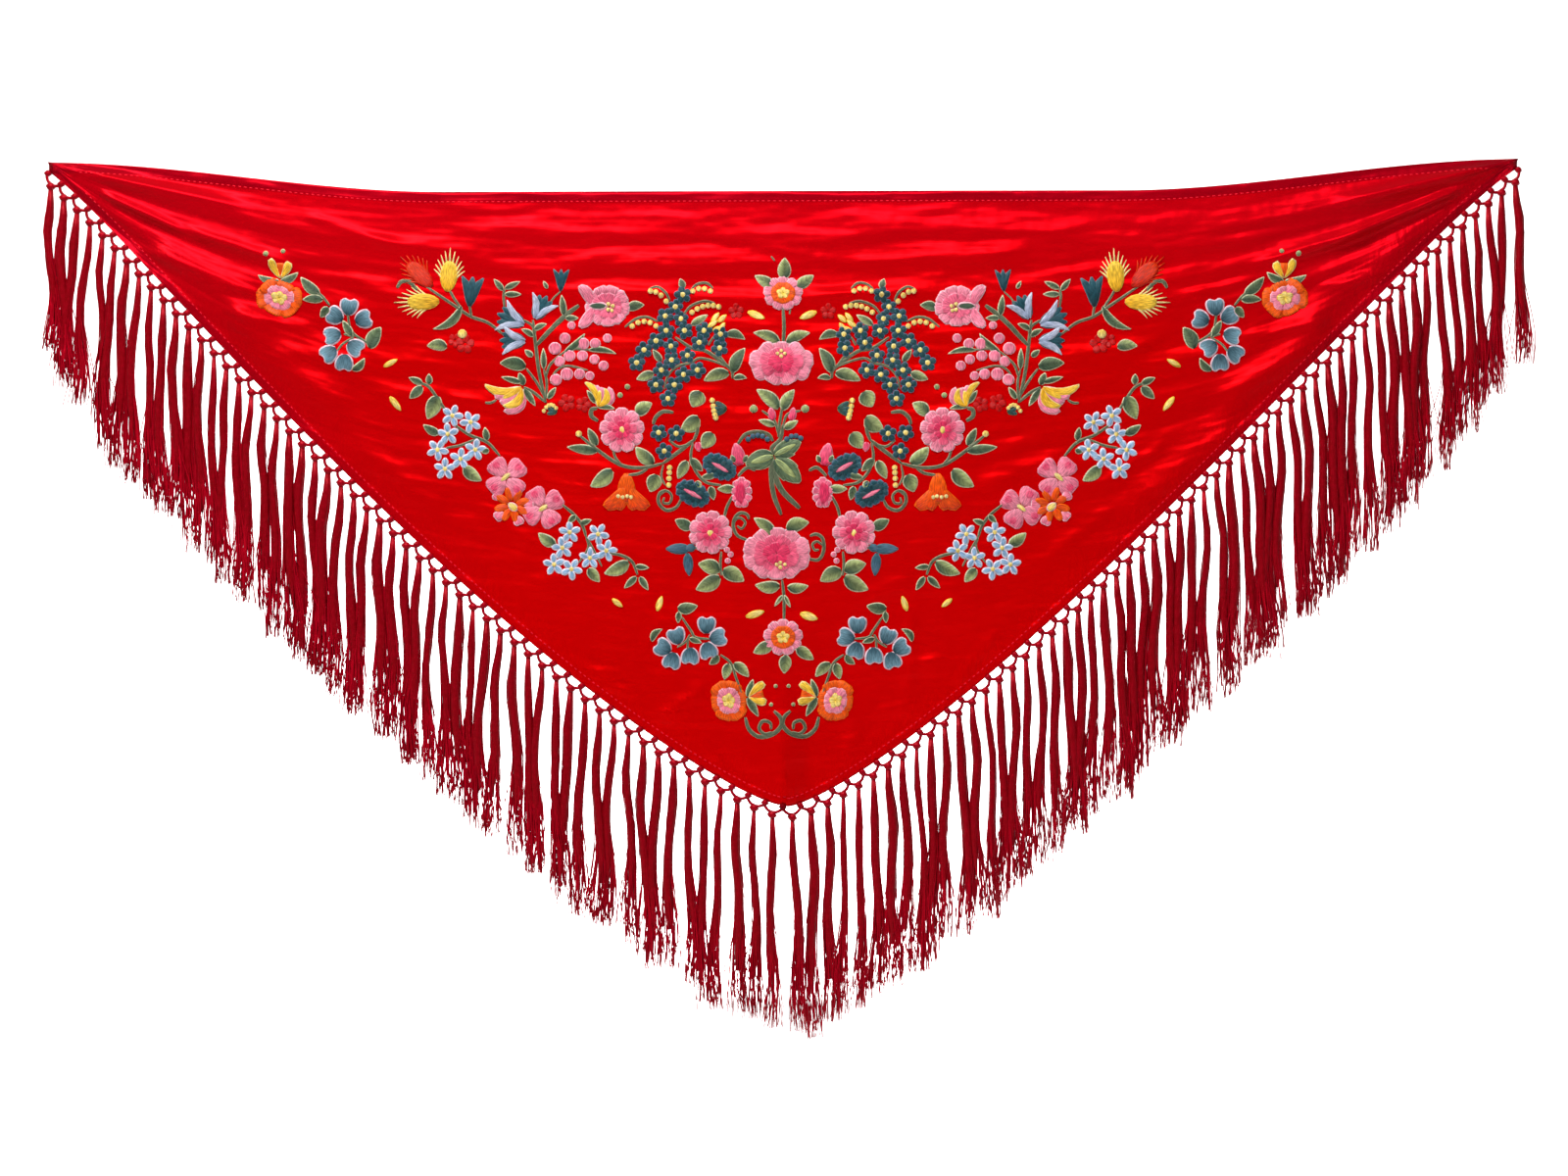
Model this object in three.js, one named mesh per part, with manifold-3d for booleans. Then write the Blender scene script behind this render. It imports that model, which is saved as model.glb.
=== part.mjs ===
// A flamenco shawl: a triangle of red satin with turned hems on its three edges and a hand-knotted
// fringe on the two short ones. It hangs spread out from its two upper corners. Millimetres. X runs
// from the left held corner, the origin, to the right one, +Z is up, and the embroidered face looks
// towards -Y.
import * as THREE from "three";
import Module from "manifold-3d";

// Driving dimensions of the cloth as it hangs.
const SPAN = 1600; // between the two held corners
const RIGHT_CORNER_RISE = 4; // the right corner is held this much higher
const TIP_DROP = 699; // from the left corner down to the lower tip
const TOP_SAG = 33; // of the top edge in its middle
const TOP_SAG_RUN = 430; // the sag is complete this far from a corner
const PINCH = { height: 10, sharpness: 20 }; // gathered cloth at a held corner, thinning away from it
const CLOTH_THICKNESS = 1.5;
const SEAM_GAP = 0.3; // between pieces that touch on the real shawl

// Each short edge is a straight line from corner to tip that bellies out by bulge. With s the share
// of the way down, the belly is proportional to s ^ rise * (1 - s) ^ fall. cells counts the cells of
// its knotted heading, with one strand of the fringe under each, fringeLength long.
const SIDES = {
  left: { bulge: 65, rise: 1.2, fall: 0.8, cells: 54, fringeLength: 230 },
  right: { bulge: 56, rise: 1.5, fall: 0.7, cells: 56, fringeLength: 240 },
};

// Folds that run from one held corner to the other as nested swags: how far each lies below the top
// edge in the middle, the distance from a corner over which it gets there, how far it stands out
// near the left corner, near the right one and in the middle, and half its width.
const SWAGS = [
  { drop: 42, reach: 150, left: 5, right: 6, middle: 1.5, width: 13 },
  { drop: 78, reach: 250, left: 8, right: 8, middle: 2.5, width: 13 },
  { drop: 116, reach: 200, left: 9, right: 10, middle: 2, width: 14 },
  { drop: 152, reach: 165, left: 9, right: 7, middle: 1.5, width: 15 },
  { drop: 194, reach: 122, left: 7, right: 6, middle: 2, width: 18 },
  { drop: 250, reach: 150, left: 5, right: 6, middle: 1.5, width: 23 },
  { drop: 325, reach: 172, left: 3, right: 4, middle: 2, width: 30 },
];
const SWAG_ONSET = 70; // folds gain their full depth and width over this distance from a corner
const SWAG_SIDE_END = 560; // beyond this distance from a corner they have their middle depth
const PINCH_SHARE = 0.12; // of a fold's depth and width that is left at the very corner

// Soft bellies of the hanging cloth: where across from the middle and how far down, half the size
// each way, and how far it stands out, or in where that is negative.
const BELLIES = [
  { across: 0, down: 330, halfWide: 420, halfHigh: 230, out: 14 },
  { across: -95, down: 600, halfWide: 90, halfHigh: 130, out: 7 },
  { across: 110, down: 590, halfWide: 80, halfHigh: 130, out: -6 },
  { across: -330, down: 330, halfWide: 120, halfHigh: 120, out: -6 },
  { across: 350, down: 300, halfWide: 120, halfHigh: 110, out: -7 },
];
const PRESS_CREASE = { top: 500, out: 7, halfWidth: 58 }; // ironed into the cloth up from its tip

// Turned hems, on the back: how wide, how thick, and at which column from a corner they begin.
const HEM = { top: 11, side: 12, thickness: 1, firstColumn: 3, mostOfHeight: 0.3 };

// The panel's columns, from a corner to the tip, stand at these borders between fringe cells. Its
// edge is straight in between, so that the fringe can follow it closely.
const COLUMNS = {
  left: [0, 1, 2, 3, 5, 7, 9, 12, 15, 18, 21, 24, 27, 30, 33, 36, 39, 42, 45, 48, 50, 52, 53, 54],
  right: [0, 1, 2, 3, 5, 7, 9, 12, 15, 18, 21, 24, 27, 30, 33, 36, 39, 42, 45, 48, 51, 54, 55, 56],
};
const LOWER_ROWS = 5; // rows of the panel below its lowest swag
const LEAST_ROW_STEP = 0.015; // of the room between the hems, where rows crowd near a corner
const EDGE_STEPS = 1600; // samples of half the lower edge, from which the cell borders are found

// One cell of the knotted heading has eight points of its own and shares two with the next. As
// distances outward from the hem: the bar along the hem is SEAM_GAP to bar, and the open cell hangs
// between two stubs that part into legs.
const POINTS_PER_CELL = 8;
const NET = { thickness: 1.6, bar: 1.9, halfStub: 1.2, shoulder: 3.4, crotch: 5.2, eye: 9.2, point: 11.4 };

// Sections of a strand, from its knot down: a drop in millimetres or a share of the strand's length,
// and half its width and half its depth there.
const KNOT_SECTIONS = [
  { drop: 0, halfWide: 1, halfDeep: 0.7 },
  { drop: 3.2, halfWide: 3.3, halfDeep: 2.9 },
  { drop: 7.5, halfWide: 2.1, halfDeep: 1.9 },
];
const STRAND_SECTIONS = [
  { share: 0.3, halfWide: 4.1, halfDeep: 2.4 },
  { share: 1, halfWide: 4.4, halfDeep: 1.7 },
];
const STRAND_ROOT = 9.9; // outward from the hem, inside the lower point of a cell
const STRAND_STRAYS = { outward: 3.5, sway: 1.5, forward: 3, length: 8 }; // from plumb and from even
const CORNER_STRANDS = { shorter: 46, cells: 9 }; // the strands nearest a corner are shorter
const DRAWS = { length: 1, sway: 5, forward: 9 }; // which scatter each of them takes

const RED_SATIN = { color: 0xc40a16, roughness: 0.38, metalness: 0 };
const SILK_FRINGE = { color: 0x8e0716, roughness: 0.45, metalness: 0 };

const MIDDLE = SPAN / 2;

function clamp(value, low, high) {
  return Math.min(high, Math.max(low, value));
}

function smooth(t) {
  const c = clamp(t, 0, 1);
  return c * c * (3 - 2 * c);
}

// A fixed scatter from -1 to 1 for strand number i and draw k: the fraction of a large sine.
const SCATTER = { perNumber: 12.9898, perDraw: 78.233, size: 43758.5453 };

function scatter(i, k) {
  const s = Math.sin(i * SCATTER.perNumber + k * SCATTER.perDraw) * SCATTER.size;
  return 2 * (s - Math.floor(s)) - 1;
}

function cornerDistance(x) {
  return Math.max(0, Math.min(x, SPAN - x));
}

function topEdge(x) {
  return (RIGHT_CORNER_RISE * x) / SPAN - TOP_SAG * smooth(cornerDistance(x) / TOP_SAG_RUN);
}

function lowerEdge(x) {
  const side = x <= MIDDLE ? SIDES.left : SIDES.right;
  const corner = x <= MIDDLE ? 0 : RIGHT_CORNER_RISE;
  const s = cornerDistance(x) / MIDDLE;
  const belly = (t) => t ** side.rise * (1 - t) ** side.fall;
  const widest = side.rise / (side.rise + side.fall);
  const chord = corner - (TIP_DROP + corner) * s;
  return chord - (side.bulge * belly(s)) / belly(widest) - PINCH.height * (1 - s) ** PINCH.sharpness;
}

// How far below the top edge a swag runs at distance m from the nearer corner.
function swagLine(swag, m) {
  return swag.drop * (1 - Math.exp(-m / swag.reach));
}

function swagFolds(x, z) {
  const m = cornerDistance(x);
  const onset = PINCH_SHARE + (1 - PINCH_SHARE) * (1 - Math.exp(-m / SWAG_ONSET));
  const toMiddle = smooth(m / SWAG_SIDE_END);
  let out = 0;
  for (const swag of SWAGS) {
    const side = x <= MIDDLE ? swag.left : swag.right;
    const depth = (side + (swag.middle - side) * toMiddle) * onset;
    const away = (topEdge(x) - z - swagLine(swag, m)) / (swag.width * onset);
    out += depth * Math.exp(-away * away);
  }
  return out;
}

function bellies(x, z) {
  let out = 0;
  for (const belly of BELLIES) {
    const across = (x - MIDDLE - belly.across) / belly.halfWide;
    const down = (-z - belly.down) / belly.halfHigh;
    out += belly.out * Math.exp(-across * across - down * down);
  }
  return out;
}

function pressCrease(x, z) {
  const lower = smooth((-z - PRESS_CREASE.top) / (TIP_DROP - PRESS_CREASE.top));
  return PRESS_CREASE.out * lower * Math.max(0, 1 - Math.abs(x - MIDDLE) / PRESS_CREASE.halfWidth);
}

// The front of the hanging cloth: folds stand out along -Y.
function frontFace(x, z) {
  return -(swagFolds(x, z) + bellies(x, z) + pressCrease(x, z));
}

// Where the borders between the cells of one side stand: distances from its corner, in X, that are
// equal steps along its edge.
function cellBorders(side, xAt) {
  const lengths = [0];
  for (let k = 1; k <= EDGE_STEPS; k++) {
    const [a, b] = [xAt((MIDDLE * (k - 1)) / EDGE_STEPS), xAt((MIDDLE * k) / EDGE_STEPS)];
    lengths.push(lengths[k - 1] + Math.hypot(b - a, lowerEdge(b) - lowerEdge(a)));
  }
  const borders = [0];
  for (let i = 1; i < side.cells; i++) {
    const wanted = (lengths[EDGE_STEPS] * i) / side.cells;
    borders.push((MIDDLE * lengths.findIndex((length) => length >= wanted)) / EDGE_STEPS);
  }
  return [...borders, MIDDLE];
}

// Columns from left to right, numbered by cells from the left corner: those of the right side are
// counted back from its corner.
const ALL_CELLS = SIDES.left.cells + SIDES.right.cells;
const leftBorders = cellBorders(SIDES.left, (d) => d);
const rightBorders = cellBorders(SIDES.right, (d) => SPAN - d);
const fromTheTip = COLUMNS.right.slice(0, -1).reverse();
const columns = [
  ...COLUMNS.left.map((cell) => ({ cell, x: leftBorders[cell] })),
  ...fromTheTip.map((cell) => ({ cell: ALL_CELLS - cell, x: SPAN - rightBorders[cell] })),
];
const TIP_COLUMN = COLUMNS.left.length - 1;

// Rows run from the top edge down. After the hem's row they follow the swags, one along each crest
// and one along each hollow above it, and crowd together where the swags leave the cloth.
function rowDepths(x) {
  const m = cornerDistance(x);
  const height = topEdge(x) - lowerEdge(x);
  const hem = Math.min(HEM.top, HEM.mostOfHeight * height);
  const sideHem = height - Math.min(HEM.side, HEM.mostOfHeight * height);
  const lines = SWAGS.flatMap((swag, k) => {
    const above = k === 0 ? 0 : swagLine(SWAGS[k - 1], m);
    return [(above + swagLine(swag, m)) / 2, swagLine(swag, m)];
  });
  const room = sideHem - hem;
  const all = lines.length + LOWER_ROWS + 1;
  const shares = lines.map((line, k) => clamp((line - hem) / room, LEAST_ROW_STEP * (k + 1), (k + 1) / all));
  const lowest = shares[shares.length - 1];
  for (let k = 1; k <= LOWER_ROWS; k++) shares.push(lowest + ((1 - lowest) * k) / (LOWER_ROWS + 1));
  return [0, hem, ...shares.map((share) => hem + share * room), sideHem, height];
}

// panel[i][j] is the front point of column i and row j.
const panel = columns.map(({ x }) =>
  rowDepths(x).map((depth) => {
    const z = topEdge(x) - depth;
    return [x, frontFace(x, z), z];
  }),
);
const LAST_ROW = panel[0].length - 1;

// A closed wall from a front of quads, listed anticlockwise as seen from the front, and the same
// front moved back by thickness. Edges that only one quad has are walled over.
function closedWall(points, quads, thickness) {
  const back = points.length;
  const position = [...points, ...points.map(([x, y, z]) => [x, y + thickness, z])];
  const index = [];
  const addQuad = (a, b, c, d) => index.push(a, b, c, a, c, d);
  const edges = new Set();
  for (const quad of quads) quad.forEach((a, k) => edges.add(`${a} ${quad[(k + 1) % 4]}`));
  for (const [a, b, c, d] of quads) {
    addQuad(a, b, c, d);
    index.push(back + a, back + c, back + b, back + a, back + d, back + c);
    for (const [p, q] of [[a, b], [b, c], [c, d], [d, a]])
      if (!edges.has(`${q} ${p}`)) addQuad(q, p, back + p, back + q);
  }
  const geometry = new THREE.BufferGeometry();
  geometry.setAttribute("position", new THREE.Float32BufferAttribute(position.flat(), 3));
  geometry.setIndex(index);
  return geometry;
}

// The points and quads of part of the panel's grid, moved back from its front by offset.
function gridPart(firstColumn, lastColumn, firstRow, lastRow, offset) {
  const rows = lastRow - firstRow + 1;
  const points = panel
    .slice(firstColumn, lastColumn + 1)
    .flatMap((column) => column.slice(firstRow, lastRow + 1).map(([x, y, z]) => [x, y + offset, z]));
  const quads = [];
  for (let i = 0; i < lastColumn - firstColumn; i++)
    for (let j = 0; j < rows - 1; j++) {
      const a = i * rows + j;
      quads.push([a, a + 1, a + 1 + rows, a + rows]);
    }
  return { points, quads };
}

function satinPanel() {
  const { points, quads } = gridPart(0, columns.length - 1, 0, LAST_ROW, 0);
  return closedWall(points, quads, CLOTH_THICKNESS);
}

function topHem() {
  const last = columns.length - 1 - HEM.firstColumn;
  const { points, quads } = gridPart(HEM.firstColumn, last, 0, 1, CLOTH_THICKNESS + SEAM_GAP);
  return closedWall(points, quads, HEM.thickness);
}

// A side hem, from near its corner to the tip, where it stops short of its neighbour.
function sideHem(firstColumn, lastColumn) {
  const behind = CLOTH_THICKNESS + SEAM_GAP;
  const { points, quads } = gridPart(firstColumn, lastColumn, LAST_ROW - 1, LAST_ROW, behind);
  const away = firstColumn === TIP_COLUMN ? SEAM_GAP / 2 : -SEAM_GAP / 2;
  for (const point of points) if (point[0] === columns[TIP_COLUMN].x) point[0] += away;
  return closedWall(points, quads, HEM.thickness);
}

// A point of the panel's lower edge, by cells from the left corner.
function edgePoint(cell) {
  const t = clamp(cell, 0, ALL_CELLS);
  const k = Math.max(1, columns.findIndex((column) => column.cell >= t));
  const share = (t - columns[k - 1].cell) / (columns[k].cell - columns[k - 1].cell);
  return panel[k - 1][LAST_ROW].map((v, axis) => v + (panel[k][LAST_ROW][axis] - v) * share);
}

// A point of the fringe's heading, outward from the panel's edge by out and along it by shift.
function headingPoint(cell, out, shift = 0) {
  const [x, y, z] = edgePoint(cell);
  const [a, b] = [edgePoint(cell - 0.5), edgePoint(cell + 0.5)];
  const length = Math.hypot(b[0] - a[0], b[2] - a[2]);
  const [along, down] = [(b[0] - a[0]) / length, (b[2] - a[2]) / length];
  return { point: [x + out * down + shift * along, y, z - out * along + shift * down], lean: down };
}

// The net from one cell border to another: eight points a cell and a ring of quads round its eye.
function netWall(firstCell, lastCell) {
  const points = [];
  const quads = [];
  const at = (...where) => points.push(headingPoint(...where).point);
  const clear = (cell) => (cell === SIDES.left.cells ? (cell === lastCell ? -SEAM_GAP : SEAM_GAP) / 2 : 0);
  for (let cell = firstCell; cell <= lastCell; cell++) {
    at(cell, SEAM_GAP, clear(cell));
    at(cell, NET.crotch, clear(cell));
    if (cell === lastCell) break;
    at(cell, NET.bar, NET.halfStub);
    at(cell, NET.shoulder, NET.halfStub);
    at(cell + 0.5, NET.eye);
    at(cell + 0.5, NET.point);
    at(cell + 1, NET.shoulder, -NET.halfStub);
    at(cell + 1, NET.bar, -NET.halfStub);
    const first = POINTS_PER_CELL * (cell - firstCell);
    const [top, crotch, barA, shoulderA, eye, point, shoulderB, barB, nextTop, nextCrotch] = Array.from(
      { length: POINTS_PER_CELL + 2 },
      (_, k) => first + k,
    );
    quads.push(
      [top, barA, barB, nextTop],
      [top, crotch, shoulderA, barA],
      [shoulderA, crotch, point, eye],
      [eye, point, nextCrotch, shoulderB],
      [barB, shoulderB, nextCrotch, nextTop],
    );
  }
  return closedWall(points, quads, NET.thickness);
}

// The strand under one cell: four-sided sections joined into a closed body.
function strand(cell) {
  const number = Math.floor(cell);
  const side = number < SIDES.left.cells ? SIDES.left : SIDES.right;
  const nearCorner = 1 - smooth(Math.min(cell, ALL_CELLS - cell) / CORNER_STRANDS.cells);
  const uneven = STRAND_STRAYS.length * scatter(number, DRAWS.length);
  const length = side.fringeLength + uneven - CORNER_STRANDS.shorter * nearCorner;
  const { point, lean } = headingPoint(cell, STRAND_ROOT);
  const [x, z] = [point[0], point[2]];
  const y = point[1] + NET.thickness / 2;
  const sections = KNOT_SECTIONS.map((section) => ({ ...section, x, y, z: z - section.drop }));
  for (const section of STRAND_SECTIONS)
    sections.push({
      ...section,
      x: x + STRAND_STRAYS.outward * lean + STRAND_STRAYS.sway * scatter(number, DRAWS.sway) * section.share,
      y: y - STRAND_STRAYS.forward * scatter(number, DRAWS.forward) * section.share,
      z: z - length * section.share,
    });
  const position = sections.flatMap((s) => [
    [s.x - s.halfWide, s.y, s.z],
    [s.x, s.y - s.halfDeep, s.z],
    [s.x + s.halfWide, s.y, s.z],
    [s.x, s.y + s.halfDeep, s.z],
  ]);
  const index = [0, 1, 2, 0, 2, 3];
  for (let a = 0; a < position.length - 4; a++) {
    const b = a % 4 === 3 ? a - 3 : a + 1;
    index.push(a, a + 4, b + 4, a, b + 4, b);
  }
  const e = position.length - 4;
  index.push(e, e + 2, e + 1, e, e + 3, e + 2);
  const geometry = new THREE.BufferGeometry();
  geometry.setAttribute("position", new THREE.Float32BufferAttribute(position.flat(), 3));
  geometry.setIndex(index);
  return geometry;
}

const wasm = await Module();
wasm.setup();

function solidFrom(geometry) {
  return new wasm.Manifold(
    new wasm.Mesh({
      numProp: 3,
      vertProperties: new Float32Array(geometry.getAttribute("position").array),
      triVerts: new Uint32Array(geometry.index.array),
    }),
  );
}

// The fringe of one side: the strands' knots are fused into the net that carries them.
function fringe(firstCell, lastCell) {
  let solid = solidFrom(netWall(firstCell, lastCell));
  for (let cell = firstCell; cell < lastCell; cell++) solid = solid.add(solidFrom(strand(cell + 0.5)));
  const mesh = solid.getMesh();
  const geometry = new THREE.BufferGeometry();
  geometry.setAttribute("position", new THREE.BufferAttribute(mesh.vertProperties, 3));
  geometry.setIndex(new THREE.BufferAttribute(mesh.triVerts, 1));
  return geometry;
}

function named(name, geometry, finish) {
  geometry.computeVertexNormals();
  const mesh = new THREE.Mesh(geometry, new THREE.MeshStandardMaterial(finish));
  mesh.name = name;
  return mesh;
}

const shawl = new THREE.Group();
shawl.add(
  named("satin_panel", satinPanel(), RED_SATIN),
  named("top_hem", topHem(), RED_SATIN),
  named("left_hem", sideHem(HEM.firstColumn, TIP_COLUMN), RED_SATIN),
  named("right_hem", sideHem(TIP_COLUMN, columns.length - 1 - HEM.firstColumn), RED_SATIN),
  named("left_fringe", fringe(0, SIDES.left.cells), SILK_FRINGE),
  named("right_fringe", fringe(SIDES.left.cells, ALL_CELLS), SILK_FRINGE),
);

export default shawl;
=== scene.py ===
import bpy
import numpy as np
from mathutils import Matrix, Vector


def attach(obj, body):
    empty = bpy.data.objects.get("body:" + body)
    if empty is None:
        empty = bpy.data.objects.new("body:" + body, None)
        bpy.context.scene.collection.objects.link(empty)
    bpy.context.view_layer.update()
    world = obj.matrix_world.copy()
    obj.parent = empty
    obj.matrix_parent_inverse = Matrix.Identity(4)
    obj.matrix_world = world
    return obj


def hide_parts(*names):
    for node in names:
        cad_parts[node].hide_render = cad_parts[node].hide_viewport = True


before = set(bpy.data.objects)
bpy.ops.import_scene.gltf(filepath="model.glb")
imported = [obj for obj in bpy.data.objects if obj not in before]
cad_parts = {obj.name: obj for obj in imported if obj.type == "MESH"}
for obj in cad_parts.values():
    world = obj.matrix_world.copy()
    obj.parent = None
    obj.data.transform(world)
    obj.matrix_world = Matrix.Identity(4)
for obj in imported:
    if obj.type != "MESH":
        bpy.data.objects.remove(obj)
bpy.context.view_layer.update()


# Camera
# It stands level in front of the middle of the shawl, far enough away to see it without distortion.
# All sizes in this file are millimetres until a mesh or an object is made from them.
MM = 0.001
SPAN = 1600
MIDDLE = SPAN / 2
VIEW_CENTRE = (801, 0, -463.5)
VIEW_WIDTH = 1708.8
VIEW_DISTANCE = 3200
SENSOR_WIDTH = 36

camera_data = bpy.data.cameras.new("camera")
camera_data.sensor_width = SENSOR_WIDTH
camera_data.lens = SENSOR_WIDTH * VIEW_DISTANCE / VIEW_WIDTH
camera = bpy.data.objects.new("camera", camera_data)
camera.location = Vector((VIEW_CENTRE[0], VIEW_CENTRE[1] - VIEW_DISTANCE, VIEW_CENTRE[2])) * MM
camera.rotation_euler = (np.pi / 2, 0, 0)
bpy.context.collection.objects.link(camera)
bpy.context.scene.camera = camera


# Satin panel
# One triangle of glossy red satin that hangs from its two upper corners. Tension folds run from
# corner to corner as nested swags, the middle bellies out a little, and an ironed crease climbs from
# the tip. The cloth is a height field: every point of its front is a function of x and z.
TIP_DROP = 699
CORNER_RISE = 4
TOP_SAG = 33
TOP_SAG_RUN = 430
PINCH_HEIGHT = 10
SATIN_THICKNESS = 0.5
SATIN_COLUMNS = 300
SATIN_ROWS = 134

# The belly of each short edge: how far it bulges below its chord and the powers of its two ends.
SIDE_BELLY = {"left": (65, 1.2, 0.8), "right": (56, 1.5, 0.7)}

# Swags: drop below the top edge in the middle, distance from a corner over which it is reached, how
# far it stands out near the left corner, near the right one and in the middle, and half its width.
SWAGS = [
    (42, 150, 5, 6, 1.5, 13),
    (78, 250, 8, 8, 2.5, 13),
    (116, 200, 9, 10, 2, 14),
    (152, 165, 9, 7, 1.5, 15),
    (194, 122, 7, 6, 2, 18),
    (250, 150, 5, 6, 1.5, 23),
    (325, 172, 3, 4, 2, 30),
]
SWAG_ONSET = 70
SWAG_SIDE_END = 560
PINCH_SHARE = 0.12
SWAG_REACH = 165

# Soft bellies: across from the middle, down, half width, half height and how far each stands out.
BELLIES = [
    (0, 330, 420, 230, 14),
    (-95, 600, 90, 130, 7),
    (110, 590, 80, 130, -6),
    (-330, 330, 120, 120, -6),
    (350, 300, 120, 110, -7),
]
# The ironed crease: where it starts, how far it stands out at the tip and how wide each flank is.
PRESS_TOP = 500
PRESS_OUT = 14
PRESS_FLANKS = {"left": 65, "right": 27}

# Creases: middle of each, across and down from the top of the left corner, its length, its direction in
# degrees, how far it stands out and half its width. A crease that stands in is a trough.
CREASES = [
    (128, 30, 190, -12, 3.3, 7), (105, 56, 120, -25, 3.9, 5), (205, 92, 130, -18, 3.0, 6),
    (160, 116, 160, -21, 3.6, 7), (330, 74, 120, -17, 2.7, 6), (200, 137, 80, -12, 2.4, 5),
    (242, 172, 110, -10, 3.0, 7), (300, 214, 120, -8, 2.7, 8), (330, 118, 150, -6, -2.7, 7),
    (420, 96, 170, -7, 2.7, 8), (455, 150, 140, -9, 2.4, 7), (400, 250, 110, 6, 2.1, 8),
    (1487, 24, 200, 13, 3.6, 7), (1468, 58, 170, 22, 4.2, 5), (1380, 92, 160, 16, 3.0, 6),
    (1350, 66, 190, 12, -2.7, 7), (1300, 130, 150, 14, 3.0, 7), (1420, 129, 90, 9, 2.4, 5),
    (1260, 92, 170, 10, 2.7, 8), (1200, 148, 140, 8, 2.4, 7), (1345, 182, 110, 8, 2.7, 7),
    (1240, 214, 120, 6, 2.4, 8), (1130, 118, 170, 6, 2.4, 7),
    (560, 78, 260, -3, 2.7, 9), (700, 112, 220, 2, 2.8, 7), (830, 82, 240, 1, 2.5, 8),
    (960, 104, 220, 3, 2.7, 8), (1060, 74, 180, 4, 2.2, 8), (640, 140, 150, -4, 2.2, 6),
    (900, 142, 170, 5, 2.4, 6), (760, 176, 120, 4, 2.0, 6), (540, 188, 130, -5, 2.1, 7),
    (1010, 182, 140, 6, 2.1, 7), (620, 245, 90, 8, 2.1, 6), (905, 238, 100, -6, 2.0, 6),
    (470, 262, 100, -12, 2.1, 7), (560, 350, 80, -14, 2.2, 6), (585, 372, 60, -6, 1.8, 5),
    (1085, 300, 110, 12, 2.1, 7), (1040, 372, 90, 16, 2.0, 6), (640, 470, 130, 24, 1.8, 7),
    (690, 590, 66, 34, 4.5, 6), (600, 560, 110, -30, 1.8, 8), (500, 395, 110, -38, 2.0, 8),
    (440, 330, 90, -34, 1.8, 7), (930, 560, 120, 28, 2.0, 8), (1010, 480, 110, -24, 1.8, 7),
    (1120, 405, 100, 36, 2.0, 8), (1180, 330, 90, 32, 1.8, 7), (870, 640, 80, 62, 1.8, 7),
    (735, 660, 90, -58, 1.8, 7), (820, 500, 70, 14, 1.7, 6), (560, 450, 90, 12, 1.7, 6),
    (609, 109, 130, 2, 2.4, 7), (745, 148, 120, -2, 2.4, 6), (609, 139, 110, -2, 2.2, 6),
    (879, 144, 130, 4, 2.6, 6), (617, 198, 90, 0, 2.2, 6), (777, 221, 70, -2, 2.0, 5),
    (966, 232, 70, 4, 2.2, 5), (726, 271, 60, 12, 1.8, 5), (844, 271, 60, -12, 1.8, 5),
    (410, 150, 170, -10, 2.8, 7), (470, 205, 150, -8, 2.4, 7), (520, 116, 160, -4, 2.6, 7),
    (1090, 150, 150, 7, 2.6, 7), (1150, 205, 130, 8, 2.4, 7), (1075, 240, 110, 10, 2.2, 7),
    (500, 300, 120, -16, 2.0, 8), (1060, 335, 120, 20, 2.0, 8), (760, 560, 90, 40, 1.8, 7),
    (850, 590, 90, -36, 1.8, 7), (700, 520, 100, -22, 1.8, 7), (900, 470, 100, 26, 1.8, 7),
    (938, 540, 130, 88, 3, 7), (1010, 540, 90, 52, 2.4, 6), (655, 520, 90, 62, 2.2, 6),
    (180, 138, 190, -33, 5.5, 15), (262, 222, 180, -37, 5, 15), (1420, 134, 190, 33, 5.5, 15),
    (1335, 222, 180, 37, 5.5, 15), (1235, 330, 190, 38, 5, 17), (385, 345, 150, -38, 3.5, 15),
]
CREASE_FADE = 4.4
CORNER_GAIN = 0.5
CORNER_GAIN_RUN = 480


def smooth(t):
    """An S-curve from 0 to 1: three times the square minus twice the cube of t, held in 0 to 1."""
    c = np.clip(t, 0, 1)
    return c * c * (3 - 2 * c)


def corner_distance(x):
    return np.clip(np.minimum(x, SPAN - x), 0, None)


def top_edge(x):
    """The straight line between the two held corners, less a sag that is complete TOP_SAG_RUN in."""
    return CORNER_RISE * x / SPAN - TOP_SAG * smooth(corner_distance(x) / TOP_SAG_RUN)


def lower_edge(x):
    """The chord from corner to tip, less a belly of s to one power times 1 - s to another."""
    x = np.asarray(x, float)
    on_left = x <= MIDDLE
    s = corner_distance(x) / MIDDLE
    edge = np.zeros_like(x)
    for side, chosen, corner in (("left", on_left, 0), ("right", ~on_left, CORNER_RISE)):
        bulge, rise, fall = SIDE_BELLY[side]
        widest = rise / (rise + fall)
        belly = bulge * s**rise * (1 - s) ** fall / (widest**rise * (1 - widest) ** fall)
        edge = np.where(chosen, corner - (TIP_DROP + corner) * s - belly, edge)
    return edge - PINCH_HEIGHT * (1 - s) ** 20


def swag_folds(x, z):
    """A sum of bell-shaped ridges, each along a line that drops away from the corner and levels out.
    All are low and narrow where the cloth is pinched together."""
    m = corner_distance(x)
    onset = PINCH_SHARE + (1 - PINCH_SHARE) * (1 - np.exp(-m / SWAG_ONSET))
    to_middle = smooth(m / SWAG_SIDE_END)
    out = 0
    for drop, reach, left, right, middle, width in SWAGS:
        side = np.where(x <= MIDDLE, left, right)
        depth = (side + (middle - side) * to_middle) * onset
        line = drop * (1 - np.exp(-m / reach))
        out = out + depth * np.exp(-(((top_edge(x) - z - line) / (width * onset)) ** 2))
    return out


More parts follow.
